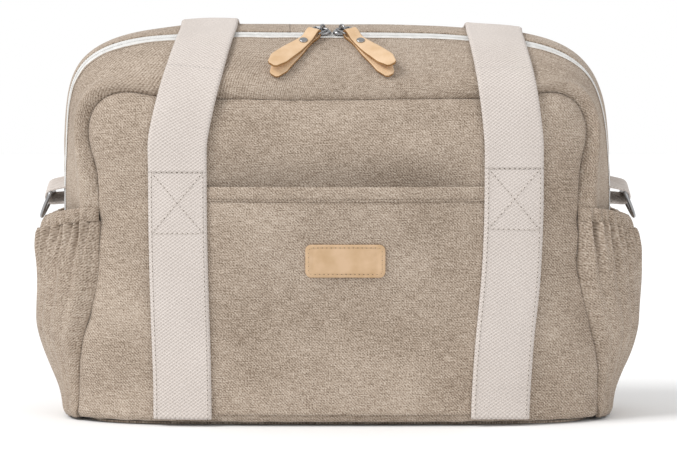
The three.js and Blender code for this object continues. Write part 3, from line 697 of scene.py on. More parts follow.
MATERIAL = {
    "canvas": canvas("linen_canvas", (0.170, 0.125, 0.088), (0.385, 0.308, 0.242), (0.60, 0.515, 0.43)),
    "webbing": webbing("cotton_webbing", (0.48, 0.425, 0.385), (0.72, 0.655, 0.61)),
    "leather": leather("natural_leather", (0.50, 0.33, 0.182), (0.60, 0.415, 0.26), 0.5),
    "pale_leather": leather("pale_leather", (0.61, 0.41, 0.235), (0.71, 0.51, 0.33), 0.5),
    "leather_edge": leather("cut_leather_edge", (0.24, 0.115, 0.035), (0.36, 0.19, 0.07), 0.6),
    "metal": metal("brushed_nickel", (0.36, 0.36, 0.365), 0.3),
    "zip": plain_weave("zip_tape", (0.62, 0.61, 0.59), (0.76, 0.75, 0.73), 0.0009),
    "coil": plain_weave("zip_coil", (0.66, 0.655, 0.64), (0.74, 0.735, 0.72), 0.0006),
    "lining": plain_weave("lining_cotton", (0.45, 0.41, 0.36), (0.58, 0.53, 0.47), 0.0006),
    "board": plain_weave("stiffener_board", (0.10, 0.09, 0.08), (0.16, 0.15, 0.13), 0.002),
    "thread": plain_weave("beige_thread", (0.33, 0.26, 0.20), (0.43, 0.35, 0.28), 0.0004),
    "cream_thread": plain_weave("cream_thread", (0.56, 0.51, 0.46), (0.68, 0.62, 0.57), 0.0004),
    "tan_thread": plain_weave("tan_thread", (0.52, 0.36, 0.21), (0.62, 0.45, 0.28), 0.0004),
    # Near-black beads set between the stitches: painted shade where the needle went through the cloth.
    "hole": plain_weave("needle_hole", (0.09, 0.065, 0.045), (0.14, 0.10, 0.07), 0.0004),
}


# ---------- camera, light and floor ----------
AMBIENT = 0.80
LAMP_WIDTH = 0.45
CAMERA_DISTANCE = 2.0
CAMERA_ELEVATION = math.radians(3.2)
CAMERA_AIM = Vector((0.0005, 0.0, 0.1350))
BAG_MIDDLE = Vector((0, 0, 0.13))
FLOOR_REACH = 6.0


def set_stage():
    add_camera()
    add_floor()
    add_sky()
    add_light("key", (-1.4, -0.7, 1.6), 1.9)
    add_light("fill", (1.3, -1.8, 1.0), 0.3)
    bpy.context.scene.view_settings.view_transform = "Standard"


def add_camera():
    camera = bpy.data.objects.new("camera", bpy.data.cameras.new("camera"))
    bpy.context.scene.collection.objects.link(camera)
    bpy.context.scene.camera = camera
    back, up = math.cos(CAMERA_ELEVATION), math.sin(CAMERA_ELEVATION)
    camera.location = CAMERA_AIM + Vector((0, -CAMERA_DISTANCE * back, CAMERA_DISTANCE * up))
    camera.rotation_euler = (math.radians(90) - CAMERA_ELEVATION, 0, 0)
    camera.data.sensor_width = 36.0
    camera.data.lens = 148.0
    camera.data.clip_start = 0.05


def add_floor():
    mesh = bpy.data.meshes.new("floor")
    corners = [(FLOOR_REACH * x, FLOOR_REACH * y, 0) for x, y in ((-1, -1), (1, -1), (1, 1), (-1, 1))]
    mesh.from_pydata(corners, [], [(0, 1, 2, 3)])
    pale, _, shader = nodes_of("pale_floor")
    shader.inputs["Base Color"].default_value = (0.93, 0.93, 0.93, 1)
    shader.inputs["Roughness"].default_value = 0.9
    mesh.materials.append(pale)
    floor = bpy.data.objects.new("floor", mesh)
    bpy.context.scene.collection.objects.link(floor)


def add_sky():
    """An even white sky: full white where it is seen, and dimmer as a light."""
    world = bpy.data.worlds.new("studio")
    world.use_nodes = True
    tree = world.node_tree
    sky = tree.nodes["Background"]
    sky.inputs[0].default_value = (1, 1, 1, 1)
    seen = add(tree, "ShaderNodeLightPath").outputs["Is Camera Ray"]
    strength = maths(tree, "ADD", maths(tree, "MULTIPLY", seen, 1 - AMBIENT), AMBIENT)
    tree.links.new(strength, sky.inputs[1])
    bpy.context.scene.world = world


def add_light(name, place, strength):
    """A far lamp wide enough for soft shadows, aimed at the bag."""
    data = bpy.data.lights.new(name, "SUN")
    data.energy = strength
    data.angle = LAMP_WIDTH
    lamp = bpy.data.objects.new(name, data)
    lamp.location = place
    toward = BAG_MIDDLE - Vector(place)
    lamp.rotation_euler = toward.to_track_quat("-Z", "Y").to_euler()
    bpy.context.scene.collection.objects.link(lamp)


# ---------- panels ----------
def seam_dip(distance, depth=1.5, width=4.0, puff=0.9, swell=15.0):
    """Height of cloth near a seam: pulled in at the seam, puffed a little beside it."""
    near = fade(np.maximum(distance, 0), width)
    return -depth * near + puff * ridge(distance, swell * 0.6, swell)


def panel_outline(count):
    """Points round a face panel's edge, evenly spaced."""
    x, z = panel_seam(np.linspace(0, 1, 500))
    down = np.linspace(GUSSET_TOP_Z, PANEL_FOOT_Z, 120)[1:]
    corner = float(panel_half_width(PANEL_FOOT_Z))
    foot = np.linspace(-corner, corner, 120)[1:-1]
    up = down[::-1]
    return evenly(np.concatenate([
        np.stack([x, z], -1),
        np.stack([-panel_half_width(down), down], -1),
        np.stack([foot, np.full_like(foot, PANEL_FOOT_Z)], -1),
        np.stack([panel_half_width(up), up], -1)]), count)


PANEL_MIDDLE = np.array([0.0, 112.0])


def face_panel(name, side):
    """The big front or back panel, pulled in at its seam and crowned between."""
    count = 260
    outline = panel_outline(count)

    def flat(u, v):
        edge = outline[np.round(u * count).astype(int) % count]
        out = (1 - (1 - v) ** 1.5)[:, None]
        gap = np.linalg.norm(edge - PANEL_MIDDLE, axis=1) * (1 - out[:, 0])
        return PANEL_MIDDLE + (edge - PANEL_MIDDLE) * out, gap

    def point(u, v, depth):
        xz, gap = flat(u, v)
        x, z = xz[:, 0], xz[:, 1]
        gap_dip = mix(2.5, 4.8, rising(z, 150, 30))
        at_foot = seam_dip(gap * 0.75, 1.2, 3.0, 0.3, 12)
        at_side = seam_dip(gap * 0.75, gap_dip, 6.0, 0.3, 24)
        pucker = 0.4 * noise(columns(x, 0, z), 7, 11) * fade(gap, 9)
        height = mix(at_foot, at_side, rising(z, PANEL_FOOT_Z, 12)) + pucker + creases(x, z, side)
        return lift(face_point(x, z, side), height - depth)

    obj = cloth(name, count, 44, point, SHELL, "canvas",
                uv=lambda u, v: flat(u, v)[0], round_u=True)
    placed(obj, "bag", "canvas", "front_panel" if side < 0 else "back_panel")


# Folds as (x, z, slope, depth, half length, half width).
CREASES = [(-146, 112, -0.85, 2.6, 44, 8), (-150, 150, 0.45, 1.8, 34, 6), (152, 96, 0.75, 2.4, 44, 8),
           (154, 150, -0.45, 1.8, 30, 6), (-150, 60, -0.5, 1.6, 40, 9), (148, 48, 0.45, 1.6, 36, 9),
           (60, 208, 0.12, 1.5, 60, 9), (-40, 212, -0.1, 1.5, 54, 8)]


def creases(x, z, side):
    """Shallow folds in the big panels, and the hollow the front pocket's edge stands over."""
    total = 0.0
    for cx, cz, slope, deep, reach, width in CREASES:
        along = (x - cx) * math.cos(slope) + (z - cz) * math.sin(slope)
        across = -(x - cx) * math.sin(slope) + (z - cz) * math.cos(slope)
        total = total - deep * np.exp(-(along / reach) ** 2 - (across / width) ** 2)
    if side > 0:
        return 0.8 * total
    free = np.clip(1 - ((x - POCKET["middle"]) / 104) ** 4, 0, 1)
    return total - 5.0 * free * ridge(z, POCKET["top"] + 2, 15)


def yoke_curves(u, side):
    """A yoke's lower edge, on the panel seam, and the zip angle opposite each of its points."""
    scale = 1 + 0.1 / SEAM_HALF_WIDTH
    x, z = panel_seam(u)
    lifted = (z - GUSSET_TOP_Z) * scale + GUSSET_TOP_Z + 0.2
    seam = face_point(x * scale, lifted, side)
    angle = mix(ZIP_START, math.pi - ZIP_START, u)
    return seam, angle


# The yokes' cloth: length over the top, and width from the panel seam to the zip.
YOKE_LENGTH = 640.0
FRONT_YOKE_WIDTH = 58.0
REAR_YOKE_WIDTH = 97.0
REAR_YOKE_LOW = 52.0
CORNER_SHARE = 0.12


def yoke_height(across, along, t):
    """A rolled edge over the panel seam, fullest at the corners, and a small one at the zip."""
    corner = ridge(t, CORNER_SHARE, 0.05) + ridge(t, 1 - CORNER_SHARE, 0.05)
    side = smooth((CORNER_SHARE - t) / 0.05) + rising(t, 1 - CORNER_SHARE, 0.05)
    full = np.minimum(corner + side, 1)
    sewn_in = smooth(t / 0.05) * smooth((1 - t) / 0.05)
    roll = (1.1 + 2.8 * full) * ridge(across, 13, 8)
    seam = -mix(1.6, 4.4 + 4.2 * full, sewn_in) * fade(across, mix(3.2, 4.8, full))
    to_zip = FRONT_YOKE_WIDTH - across
    zip_side = seam_dip(to_zip, 0.6, 1.3, 0.75, 6)
    place = columns(along, across, 0)
    pucker = 0.4 * noise(place, 8, 21) * (fade(across, 10) + 0.5 * fade(to_zip, 8))
    return seam + roll + zip_side + pucker


def front_yoke():
    def point(u, v, depth):
        seam, angle = yoke_curves(u, -1)
        edge = zip_base(angle, -TAPE_EDGE + 1.0)
        base = on_body(seam + (edge - seam) * v[:, None])
        return lift(base, yoke_height(v * FRONT_YOKE_WIDTH, u * YOKE_LENGTH, u) - depth)

    obj = cloth("front_yoke_cloth", 320, 30, point, SHELL, "canvas")
    placed(obj, "bag", "canvas", "front_yoke")


# How far behind the zip's middle the lip folds.
LIP_BACK = 49.6
# The rear band's grid: columns in each side run and in the lip, rows below and above the fold.
RUN, LIP = 130, 40
LOW_ROWS, HIGH_ROWS = 26, 20
LOW_SHARE = LOW_ROWS / (LOW_ROWS + HIGH_ROWS)
LIP_OVERLAP = 2
ZIP_SPAN = math.pi - 2 * ZIP_START
LIP_START = (zip_angle(ZIP_SPLIT_RIGHT) - ZIP_START) / ZIP_SPAN
LIP_END = (zip_angle(ZIP_SPLIT_LEFT) - ZIP_START) / ZIP_SPAN
# How far along the band each column of its grid lies, closer together across the lip.
BAND_MARKS = np.concatenate([np.linspace(0, LIP_START, RUN + 1),
                             np.linspace(LIP_START, LIP_END, LIP + 1)[1:],
                             np.linspace(LIP_END, 1, RUN + 1)[1:]])


def band_share(u):
    return np.interp(u, np.linspace(0, 1, len(BAND_MARKS)), BAND_MARKS)


def band_base(u, v):
    """A point of the rear band, and its distances across and along the cloth."""
    t = band_share(u)
    seam, angle = yoke_curves(t, 1)
    line = zip_base(angle, LIP_BACK)
    lower = on_body(seam + (line - seam) * np.minimum(v / LOW_SHARE, 1)[:, None])
    rearward = mix(LIP_BACK, TAPE_EDGE - 1.0, np.clip((v - LOW_SHARE) / (1 - LOW_SHARE), 0, 1))
    upper = zip_base(angle, rearward)
    is_low = v <= LOW_SHARE
    base = np.where(is_low[:, None], lower, upper)
    across = REAR_YOKE_LOW + np.where(is_low, (v / LOW_SHARE - 1) * REAR_YOKE_LOW, LIP_BACK - rearward)
    return base, across, t * YOKE_LENGTH


def band_point(u, v, depth):
    base, across, along = band_base(u, v)
    to_zip = REAR_YOKE_WIDTH - across
    seam = seam_dip(across, 2.4, 2.6, 1.8, 16) + seam_dip(to_zip, 0.6, 1.3, 1.3, 8)
    pucker = 0.35 * noise(columns(along, across, 5), 8, 22) * fade(to_zip, 8)
    return lift(base, seam + pucker - depth)


def lip_point(u, v, depth):
    """The lip, its outer edges run on a little way under the band they are part of."""
    t = band_share(u)
    below = REAR_YOKE_LOW * (1 - v / LOW_SHARE)
    beyond = np.maximum(np.maximum(LIP_START - t, t - LIP_END) * YOKE_LENGTH, below)
    return band_point(u, v, depth + 0.3 * rising(beyond, -0.6, 1.2))


def band_flat(u, v):
    _, across, along = band_base(u, v)
    return np.stack([along, across], -1)


def rear_band():
    """The rear yoke as one cloth with its opening lip cut free, and the two halves of the lip."""
    nu, nv = len(BAND_MARKS) - 1, LOW_ROWS + HIGH_ROWS
    i, j = np.meshgrid(np.arange(nu), np.arange(nv))
    window = (i >= RUN) & (i < RUN + LIP) & (j >= LOW_ROWS)
    static = cloth("rear_yoke_cloth", nu, nv, band_point, SHELL, "canvas", uv=band_flat, keep=~window)
    placed(static, "bag", "canvas", "rear_yoke")
    middle = RUN + LIP // 2
    halves = (("right", (i >= RUN - LIP_OVERLAP) & (i < middle), ["rear_lip"]),
              ("left", (i >= middle) & (i < RUN + LIP + LIP_OVERLAP), []))
    for place, chosen, nodes in halves:
        half = cloth(f"rear_lip_cloth_{place}", nu, nv, lip_point, SHELL, "canvas",
                     uv=band_flat, keep=chosen & (j >= LOW_ROWS - 1))
        lip_blend(half)
        placed(half, None, "canvas", *nodes)


def lip_blend(obj):
    """Writes the piece's placement into its points, and leaves it on no body."""
    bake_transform(obj)


def gusset_dip(u, z):
    """How far the side is drawn in towards its seams with the face panels."""
    return -3.6 * fade(np.minimum(u, 1 - u) * 120, 3.0) * rising(z, PANEL_FOOT_Z, 12)


def side_gusset(place, side):
    def point(u, v, depth):
        z = mix(PANEL_FOOT_Z, GUSSET_TOP_Z, v)
        return lift(gusset_base(u, z, side), gusset_dip(u, z) - depth)

    obj = cloth(f"side_gusset_{place}", 60, 70, point, SHELL, "canvas")
    placed(obj, "bag", "canvas", f"side_panel_{place}")


# The base: half width and depth to its edge, and how square its rounded outline is.
BASE = {"half_x": 176.0, "half_y": 73.0, "power": 5, "thick": 1.4}


def base_panel():
    def outline(u, v):
        turn = 2 * math.pi * u
        run = (np.abs(np.cos(turn)) / BASE["half_x"]) ** BASE["power"]
        depth = (np.abs(np.sin(turn)) / BASE["half_y"]) ** BASE["power"]
        radius = (run + depth) ** (-1 / BASE["power"]) * v
        return radius * np.cos(turn), radius * np.sin(turn)

    def point(u, v, depth):
        round_edge = 0.5 * fade(1 - v, 1 / 60)
        return columns(*outline(u, v), round_edge + depth)

    obj = cloth("base_cloth", 160, 24, point, BASE["thick"], "canvas",
                uv=lambda u, v: np.stack(outline(u, v), -1), round_u=True)
    placed(obj, "bag", "canvas", "base_panel")


# The lining: its gap inside the shell, the lowest it lies, and the half sizes of its mouth.
LINING = {"gap": 9.0, "floor": 5.4, "mouth_x": 34.0, "mouth_arc": 24.0, "thick": 0.6}


def lining():
    """The inner bag, hung just inside the shell, with a plain hemmed mouth."""
    centre = np.array([0.0, 0.0, GUSSET_TOP_Z])

    def point(u, v, depth):
        turn = 2 * math.pi * u
        mouth = over_top_base(mix(ZIP_SPLIT_LEFT, ZIP_SPLIT_RIGHT, 0.5) + LINING["mouth_x"] * np.cos(turn),
                              1 - LINING["mouth_arc"] * np.sin(turn))
        rim = unit(mouth - centre)
        outward = unit(columns(np.cos(turn), -0.45 * np.sin(turn), 0))
        half = 0.62
        quarter = np.minimum(v / half, 1) * math.pi / 2
        low = outward * np.sin(quarter)[:, None] + columns(0, 0, -np.cos(quarter))
        share = np.clip((v - half) / (1 - half), 0, 1)[:, None]
        high = outward * (1 - share) + rim * share
        ray = unit(np.where((v < half)[:, None], low, high))
        base = along_ray(np.broadcast_to(centre, ray.shape), ray)
        loose = 0.5 * noise(base, 40, 33)
        p = base + normal_at(base) * (loose - LINING["gap"] - depth)[:, None]
        p[:, 2] = np.maximum(p[:, 2], LINING["floor"] + depth)
        return p

    obj = cloth("lining_cloth", 120, 60, point, LINING["thick"], "lining", round_u=True)
    placed(obj, "bag", "lining", "lining")


# ---------- zip ----------
ZIP_MIDDLE = zip_angle((ZIP_SPLIT_LEFT + ZIP_SPLIT_RIGHT) / 2)
# The zip's mean distance from the seam centre, which turns an angle into a length.
ZIP_RADIUS = 190.0
TAPE_THICK = 0.6
COIL_PITCH = 1.5
COIL_THICK = 0.7


def zip_parts():
    """The tapes and coils: one long pair in front, and behind it two fixed runs and the lip's two."""
    right, left = ZIP_START, math.pi - ZIP_START
    split_right, split_left = zip_angle(ZIP_SPLIT_RIGHT), zip_angle(ZIP_SPLIT_LEFT)
    runs = [
        ("front", right, left, -1, "front", None),
        ("rear_right", right, split_right, 1, "rear_right", None),
        ("rear_left", split_left, left, 1, "rear_left", None),
        ("mid_right", split_right, ZIP_MIDDLE, 1, "rear_mid", "right"),
        ("mid_left", ZIP_MIDDLE, split_left, 1, None, "left"),
    ]
    for name, start, end, side, node, half in runs:
        tape = zip_tape(name, start, end, side)
        coil = zip_coil(name, start, end, side)
        for obj, kind in ((tape, "tape"), (coil, "coil")):
            if half:
                lip_blend(obj)
            nodes = [f"zip_{kind}_{node}"] if node else []
            placed(obj, None if half else "bag", "zip", *nodes)


def zip_tape(name, start, end, side):
    def point(u, v, depth):
        rearward = side * mix(COIL_HALF * 0.6, TAPE_EDGE + 0.4, v)
        crown = 0.25 * np.sin(np.pi * v)
        return zip_point(mix(start, end, u), rearward, crown - 0.1 - depth)

    columns_along = max(int(abs(end - start) * ZIP_RADIUS / 4), 8)
    return cloth(f"zip_tape_{name}_cloth", columns_along, 6, point, TAPE_THICK, "zip")


def zip_coil(name, start, end, side):
    """A moulded coil whose loops reach just past the middle, out of step with the other side's."""
    loops = int(abs(end - start) * ZIP_RADIUS / COIL_PITCH)
    shift = 0.0 if side < 0 else math.pi

    def point(u, v, depth):
        loop = 0.5 + 0.5 * np.cos(2 * math.pi * u * loops + shift)
        reach = mix(COIL_HALF + 0.2, -0.25 * loop - 0.05, v)
        bow = np.sin(math.pi * np.clip(v, 0, 1)) ** 0.6
        height = 0.35 + 0.75 * bow * (0.45 + 0.55 * loop)
        return zip_point(mix(start, end, u), side * reach, height - depth * 0.8)

    return cloth(f"zip_coil_{name}_teeth", loops * 5, 5, point, COIL_THICK, "coil")


# ---------- front pocket and label ----------
POCKET = {"left": -111.0, "right": 119.0, "foot": 8.0, "hem": 156.0, "top": 166.0, "middle": 5.0,
          "half": 96.0, "gape": 6.0, "cloth": 0.9}


def pocket_lift(x, z):
    """How far the pocket stands off the front panel: free in the middle and at the top."""
    across = np.clip(1 - ((x - POCKET["middle"]) / POCKET["half"]) ** 4, 0, 1) ** 1.2
    return 0.35 + POCKET["gape"] * across * rising(z, 50, 116) ** 1.4


def pocket_flat(u, v):
    """Flat cloth coordinates of the pocket, off the front panel's so that their slubs differ."""
    return np.stack([mix(POCKET["left"], POCKET["right"], u) + 400,
                     mix(POCKET["foot"], POCKET["hem"], v) + 90], -1)


def front_pocket():
    """The slip pocket between the front straps, its rolled hem and the hem's stitching."""
    def body_point(u, v, depth):
        x = mix(POCKET["left"], POCKET["right"], u)
        z = mix(POCKET["foot"], POCKET["hem"] + 0.4, v)
        slack = 0.175 * noise(columns(x, 0, z), 26, 41) * rising(z, 20, 60)
        height = pocket_lift(x, z) + POCKET["cloth"] + slack - 0.5 * ridge(z, POCKET["hem"], 2.2)
        return lift(face_point(x, z, -1), height - depth)

    def hem_point(u, v, depth):
        x = mix(POCKET["left"], POCKET["right"], u)
        z = mix(POCKET["hem"] - 0.2, POCKET["top"], v)
        under_strap = 1 - 0.7 * rising(np.abs(x - POCKET["middle"]), 88, 8)
        roll = np.sin(math.pi * np.clip(v, 0.02, 0.98)) ** 0.5 * under_strap
        ripple = 0.25 * noise(columns(x, 0, z), 9, 43)
        height = pocket_lift(x, z) + POCKET["cloth"] + roll + ripple * roll
        return lift(face_point(x, z, -1), height - depth * (1 + roll / POCKET["cloth"]))

    body = cloth("front_pocket_cloth", 150, 100, body_point, POCKET["cloth"], "canvas",
                 uv=pocket_flat)
    placed(body, "bag", "canvas", "front_pocket")
    hem = cloth("front_pocket_hem_cloth", 150, 12, hem_point, POCKET["cloth"], "canvas",
                uv=lambda u, v: np.stack([u * 230 + 30, v * 10 + 310], -1))
    placed(hem, "bag", "canvas", "front_pocket_hem")

    def seam_line(t):
        x = mix(-90, 100, t)
        z = np.full_like(x, POCKET["hem"] + 1.5)
        return face_point(x, z, -1), pocket_lift(x, z) + 1.75

    thread("front_pocket_stitching", [needle_row(seam_line, 160, 2.8)], MATERIAL["thread"], "bag")


def rounded_outline(half_x, half_z, radius, count):
    """Points round a rectangle with rounded corners, evenly spaced."""
    corners = []
    for quarter in range(4):
        sx = 1 if quarter in (0, 3) else -1
        sz = 1 if quarter < 2 else -1
        turn = (quarter + np.linspace(0, 1, 12)) * math.pi / 2
        corners.append(np.stack([sx * (half_x - radius) + radius * np.cos(turn),
                                 sz * (half_z - radius) + radius * np.sin(turn)], -1))
    return evenly(np.concatenate(corners), count)


LABEL_MIDDLE = np.array([5.2, 115.0])
# The label's half sizes and corner, and how far inside its edge the stitching runs.
LABEL = {"half_x": 27.5, "half_z": 11.4, "corner": 4.0, "thick": 1.5, "proud": 1.9, "inset": 2.2}


def label_patch():
    """A blank leather patch with a stitched groove round it."""
    count = 120
    outline = rounded_outline(LABEL["half_x"], LABEL["half_z"], LABEL["corner"], count)

    def flat(u, v):
        edge = outline[np.round(u * count).astype(int) % count]
        return LABEL_MIDDLE + edge * (1 - (1 - v) ** 1.4)[:, None]

    def point(u, v, depth):
        x, z = flat(u, v).T
        inset = (1 - v) ** 1.4 * LABEL["half_z"]
        worn = 0.45 * fade(inset, 0.45) + 0.28 * ridge(inset, LABEL["inset"], 0.55)
        height = pocket_lift(x, z) + POCKET["cloth"] + LABEL["proud"] - worn
        return lift(face_point(x, z, -1), height - depth)

    patch = cloth("label_leather", count, 26, point, LABEL["thick"],
                  "leather leather_edge", uv=flat, round_u=True)
    placed(patch, "bag", "leather", "label_patch")
    inset = LABEL["inset"]
    ring = rounded_outline(LABEL["half_x"] - inset, LABEL["half_z"] - inset, 2.6, 200)
    x, z = (np.vstack([ring, ring[:1]]) + LABEL_MIDDLE).T
    base = face_point(x, z, -1)
    path = lift(base, pocket_lift(x, z) + POCKET["cloth"] + 1.65)
    row = needle_path(path, normal_at(base), 3.0, 0.3)
    thread("label_stitching", [row], MATERIAL["tan_thread"], "bag", "leather")


# ---------- side pockets ----------
SIDE = {"foot": 3.0, "top": 151.0, "sag": 9.0, "hem": 10.0, "bulge": 20.0, "full_at": 70.0,
        "cloth": 1.2, "hem_thick": 2.0}
# How far the elastic draws the pocket in, and where that starts and over how much height.
CINCH = {"share": 0.42, "from": 116.0, "over": 32.0}


def side_top(u):
    return SIDE["top"] - SIDE["sag"] * np.sin(math.pi * u) ** 1.5


def side_lift(u, z):
    """How far the pocket stands off its gusset, with the elastic drawing it in at the top."""
    rise = rising(z, SIDE["foot"], SIDE["full_at"] - SIDE["foot"])
    drawn = 1 - CINCH["share"] * rising(z, CINCH["from"], CINCH["over"])
    return 0.4 + SIDE["bulge"] * rise * drawn * np.sin(math.pi * np.clip(u, 0, 1)) ** 0.8


SHORT_PLEATS = 27
LONG_PLEATS = 13
HEM_PLEATS = 29


def pleat(turn):
    """Broad rounded ridges with sharp valleys between them, from -0.6 to 0.4."""
    return np.abs(np.sin(turn / 2)) ** 1.1 - 0.6


def gathers(u, drop, side):
    """Folds that fan out below the elastic and die away down the pocket."""
    wander = 0.035 * noise(columns(u * 70, drop * 0.5, 7 * side), 17, 51)
    phase = (u + wander) * 2 * math.pi
    strong = pleat(SHORT_PLEATS * phase + side) * fade(drop, 13)
    long = pleat(LONG_PLEATS * phase + 0.9 * side) * (fade(drop, 30) + 0.1)
    edge = smooth(u / 0.05) * smooth((1 - u) / 0.05)
    return (9.0 * strong + 6.5 * long) * edge


def side_pocket(place, side):
    """A gathered side pocket and its ruched elastic hem."""
    def body_point(a, v, depth):
        top = side_top(a) - SIDE["hem"] + 0.8
        z = mix(SIDE["foot"], top, v)
        base = gusset_base(a, z, side)
        drop = top - z
        dents = 1.6 * noise(base, 34, 55) * rising(z, 10, 40)
        tuck = -1.2 * ridge(drop, 0, 2.0)
        height = side_lift(a, z) + SIDE["cloth"] + gathers(a, drop, side) + dents + tuck
        return lift(base, np.maximum(height, 1.4) + gusset_dip(a, z) - depth)

    def hem_point(a, v, depth):
        z = side_top(a) - SIDE["hem"] * (1 - v)
        base = gusset_base(a, z, side)
        roll = np.sin(math.pi * np.clip(v, 0.03, 0.97)) ** 0.5
        ruche = gathers(a, 0 * a, side) * (0.26 - 0.14 * v)
        small = 0.3 * np.cos(a * 2 * math.pi * HEM_PLEATS + 0.7 * side)
        height = side_lift(a, z) + 1.6 + 1.5 * roll + ruche + small * roll
        return lift(base, np.maximum(height, 2.0) + gusset_dip(a, z) - depth * (0.7 + 0.9 * roll))

    obj = cloth(f"side_pocket_{place}_cloth", 330, 90, body_point, SIDE["cloth"], "canvas")
    placed(obj, "bag", "canvas", f"side_pocket_{place}")
    hem = cloth(f"side_pocket_hem_{place}_cloth", 330, 14, hem_point, SIDE["hem_thick"],
                "canvas")
    placed(hem, "bag", "canvas", f"side_pocket_hem_{place}")


# ---------- webbing ----------
SEWN_ARC = QUARTER_ARC + DOME_Z - SEWN_TOP_Z
FOOT_ARC = QUARTER_ARC + DOME_Z - 6
# Each leg's x at the foot, at its sewn top and at the ridge or fold.
FRONT_LEGS = {"left": (-107, -110, -91), "right": (112, 121, 111)}
REAR_LEGS = {"left": (-112, -114, -114), "right": (112, 114, 114)}
REAR_FOLD_ARC = -(QUARTER_ARC - 6)
REAR_DROP = 103.0
BOW_DEPTH = 66.0
LEG_BEND = 0.95
LEG_LEAN = 1.5
LEG_CLIMB = 1.25
WEB_STEP = 1.5


def leg_x(stations, arc):
    """A leg's x at a distance forward of the ridge, from its three stations."""
    foot, sewn, top = stations
    reach = np.abs(arc)
    low = mix(sewn, foot, smooth((reach - SEWN_ARC) / (FOOT_ARC - SEWN_ARC)) ** LEG_LEAN)
    drop = 1 - np.cos(np.minimum(reach, QUARTER_ARC) / DOME_RADIUS)
    climb = 1 - np.minimum(drop / LEG_BEND, 1)
    high = mix(sewn, top, climb ** LEG_CLIMB)
    return np.where(reach > SEWN_ARC, low, high)


def leg_pair(legs, arc):
    """The x of the left and the right leg at one arc."""
    return [float(leg_x(legs[place], np.array(arc))) for place in ("left", "right")]


def upright(x, arcs):
    """A straight line of (x, arc) at one x."""
    return np.stack([np.full_like(arcs, x), arcs], -1)


def bow_line(left_x, right_x, start):
    """The curve of (x, arc) that joins two legs, from the left one to the right one."""
    middle, half = (left_x + right_x) / 2, (right_x - left_x) / 2
    turn = np.linspace(math.pi, 0, 120)[1:-1]
    return np.stack([middle + half * np.cos(turn), start - BOW_DEPTH * np.sin(turn)], -1)


def handle_line(legs, side, turn_arc, leg_length):
    """The middle line of a handle as (x, arc): up one sewn leg, round its bow, down the other."""
    left_x, right_x = leg_pair(legs, turn_arc)
    arc = np.linspace(side * FOOT_ARC, turn_arc, 240)
    straight = np.linspace(turn_arc, turn_arc - leg_length, 30)[1:]
    line = np.concatenate([
        np.stack([leg_x(legs["left"], arc), arc], -1),
        upright(left_x, straight),
        bow_line(left_x, right_x, turn_arc - leg_length),
        upright(right_x, straight)[::-1],
        np.stack([leg_x(legs["right"], arc), arc], -1)[::-1]])
    for _ in range(30):
        line[1:-1] = (line[:-2] + 2 * line[1:-1] + line[2:]) / 4
    return line


class Webbing:
    """A band of webbing laid on the skin along a line of (x, arc), cut into pieces by distance."""

    def __init__(self, line, extra=0.0):
        reach = distances(line)
        self.length = reach[-1]
        self.steps = np.linspace(0, self.length, int(self.length / WEB_STEP) + 1)
        self.line = looked_up(self.steps, reach, line)
        self.run = unit(np.gradient(self.line, axis=0))
        heading = np.unwrap(np.arctan2(self.run[:, 1], self.run[:, 0]))
        self.bend = np.abs(np.gradient(heading, self.steps))
        self.extra = extra

    def at(self, distance, values):
        return np.interp(distance, self.steps, values)

    def spot(self, distance, offset):
        """The place on the skin a distance along the band and an offset from its middle."""
        x = self.at(distance, self.line[:, 0]) - offset * self.at(distance, self.run[:, 1])
        arc = self.at(distance, self.line[:, 1]) + offset * self.at(distance, self.run[:, 0])
        return over_top_base(x, arc)

    def height(self, distance, u):
        """The height of the band's face, which rides up a little at its edges where it turns."""
        bulge = 60 * self.at(distance, self.bend) * (2 * u - 1) ** 2
        wave = 0.35 * noise(columns(u * WEBBING_WIDTH, distance, 9), 24, 63)
        return (STRAP_LIFT + WEBBING_THICK + self.extra + strap_profile(u) + wave
                + np.minimum(bulge, 1.2))

    def piece(self, name, start, end, nodes, tuck=0.0):
        """A length of the band; tuck is how far each end runs on under its neighbour."""
        way = math.copysign(tuck, end - start)
        start, end = start - way, end + way
        rows = max(int(abs(end - start) / WEB_STEP), 6)

        def point(u, v, depth):
            distance = mix(start, end, v)
            to_end = np.minimum(v, 1 - v) * abs(end - start)
            depth = depth + (0.3 * fade(to_end, 0.6 * tuck) if tuck else 0.0)
            offset = (2 * u - 1) * WEBBING_WIDTH / 2
            scallop = 0.14 * np.abs(2 * u - 1) ** 14 * np.sign(2 * u - 1) * np.sin(distance * 2.6)
            thick = depth * (1 + strap_profile(u) / WEBBING_THICK)
            return lift(self.spot(distance, offset + scallop), self.height(distance, u) - thick)

        obj = cloth(name, 24, rows, point, WEBBING_THICK, "webbing",
                    uv=lambda u, v: np.stack([u * WEBBING_WIDTH, mix(start, end, v)], -1))
        return placed(obj, None, "webbing", *nodes)

    def reach_of(self, arc, last=False):
        """The distance along the band where it first, or last, crosses an arc."""
        crossed = np.nonzero(np.diff(np.sign(self.line[:, 1] - arc)))[0]
        k = crossed[-1 if last else 0]
        return float(self.steps[k])


def strap_profile(u):
    """Webbing is a little thinner and rounded at its two woven edges."""
    edge = np.minimum(u, 1 - u) * WEBBING_WIDTH
    return -0.75 * fade(edge, 0.5) + 0.12 * ridge(edge, 1.6, 0.8)


SPLIT_ARC = 70.0
BOW_TUCK = 5.0


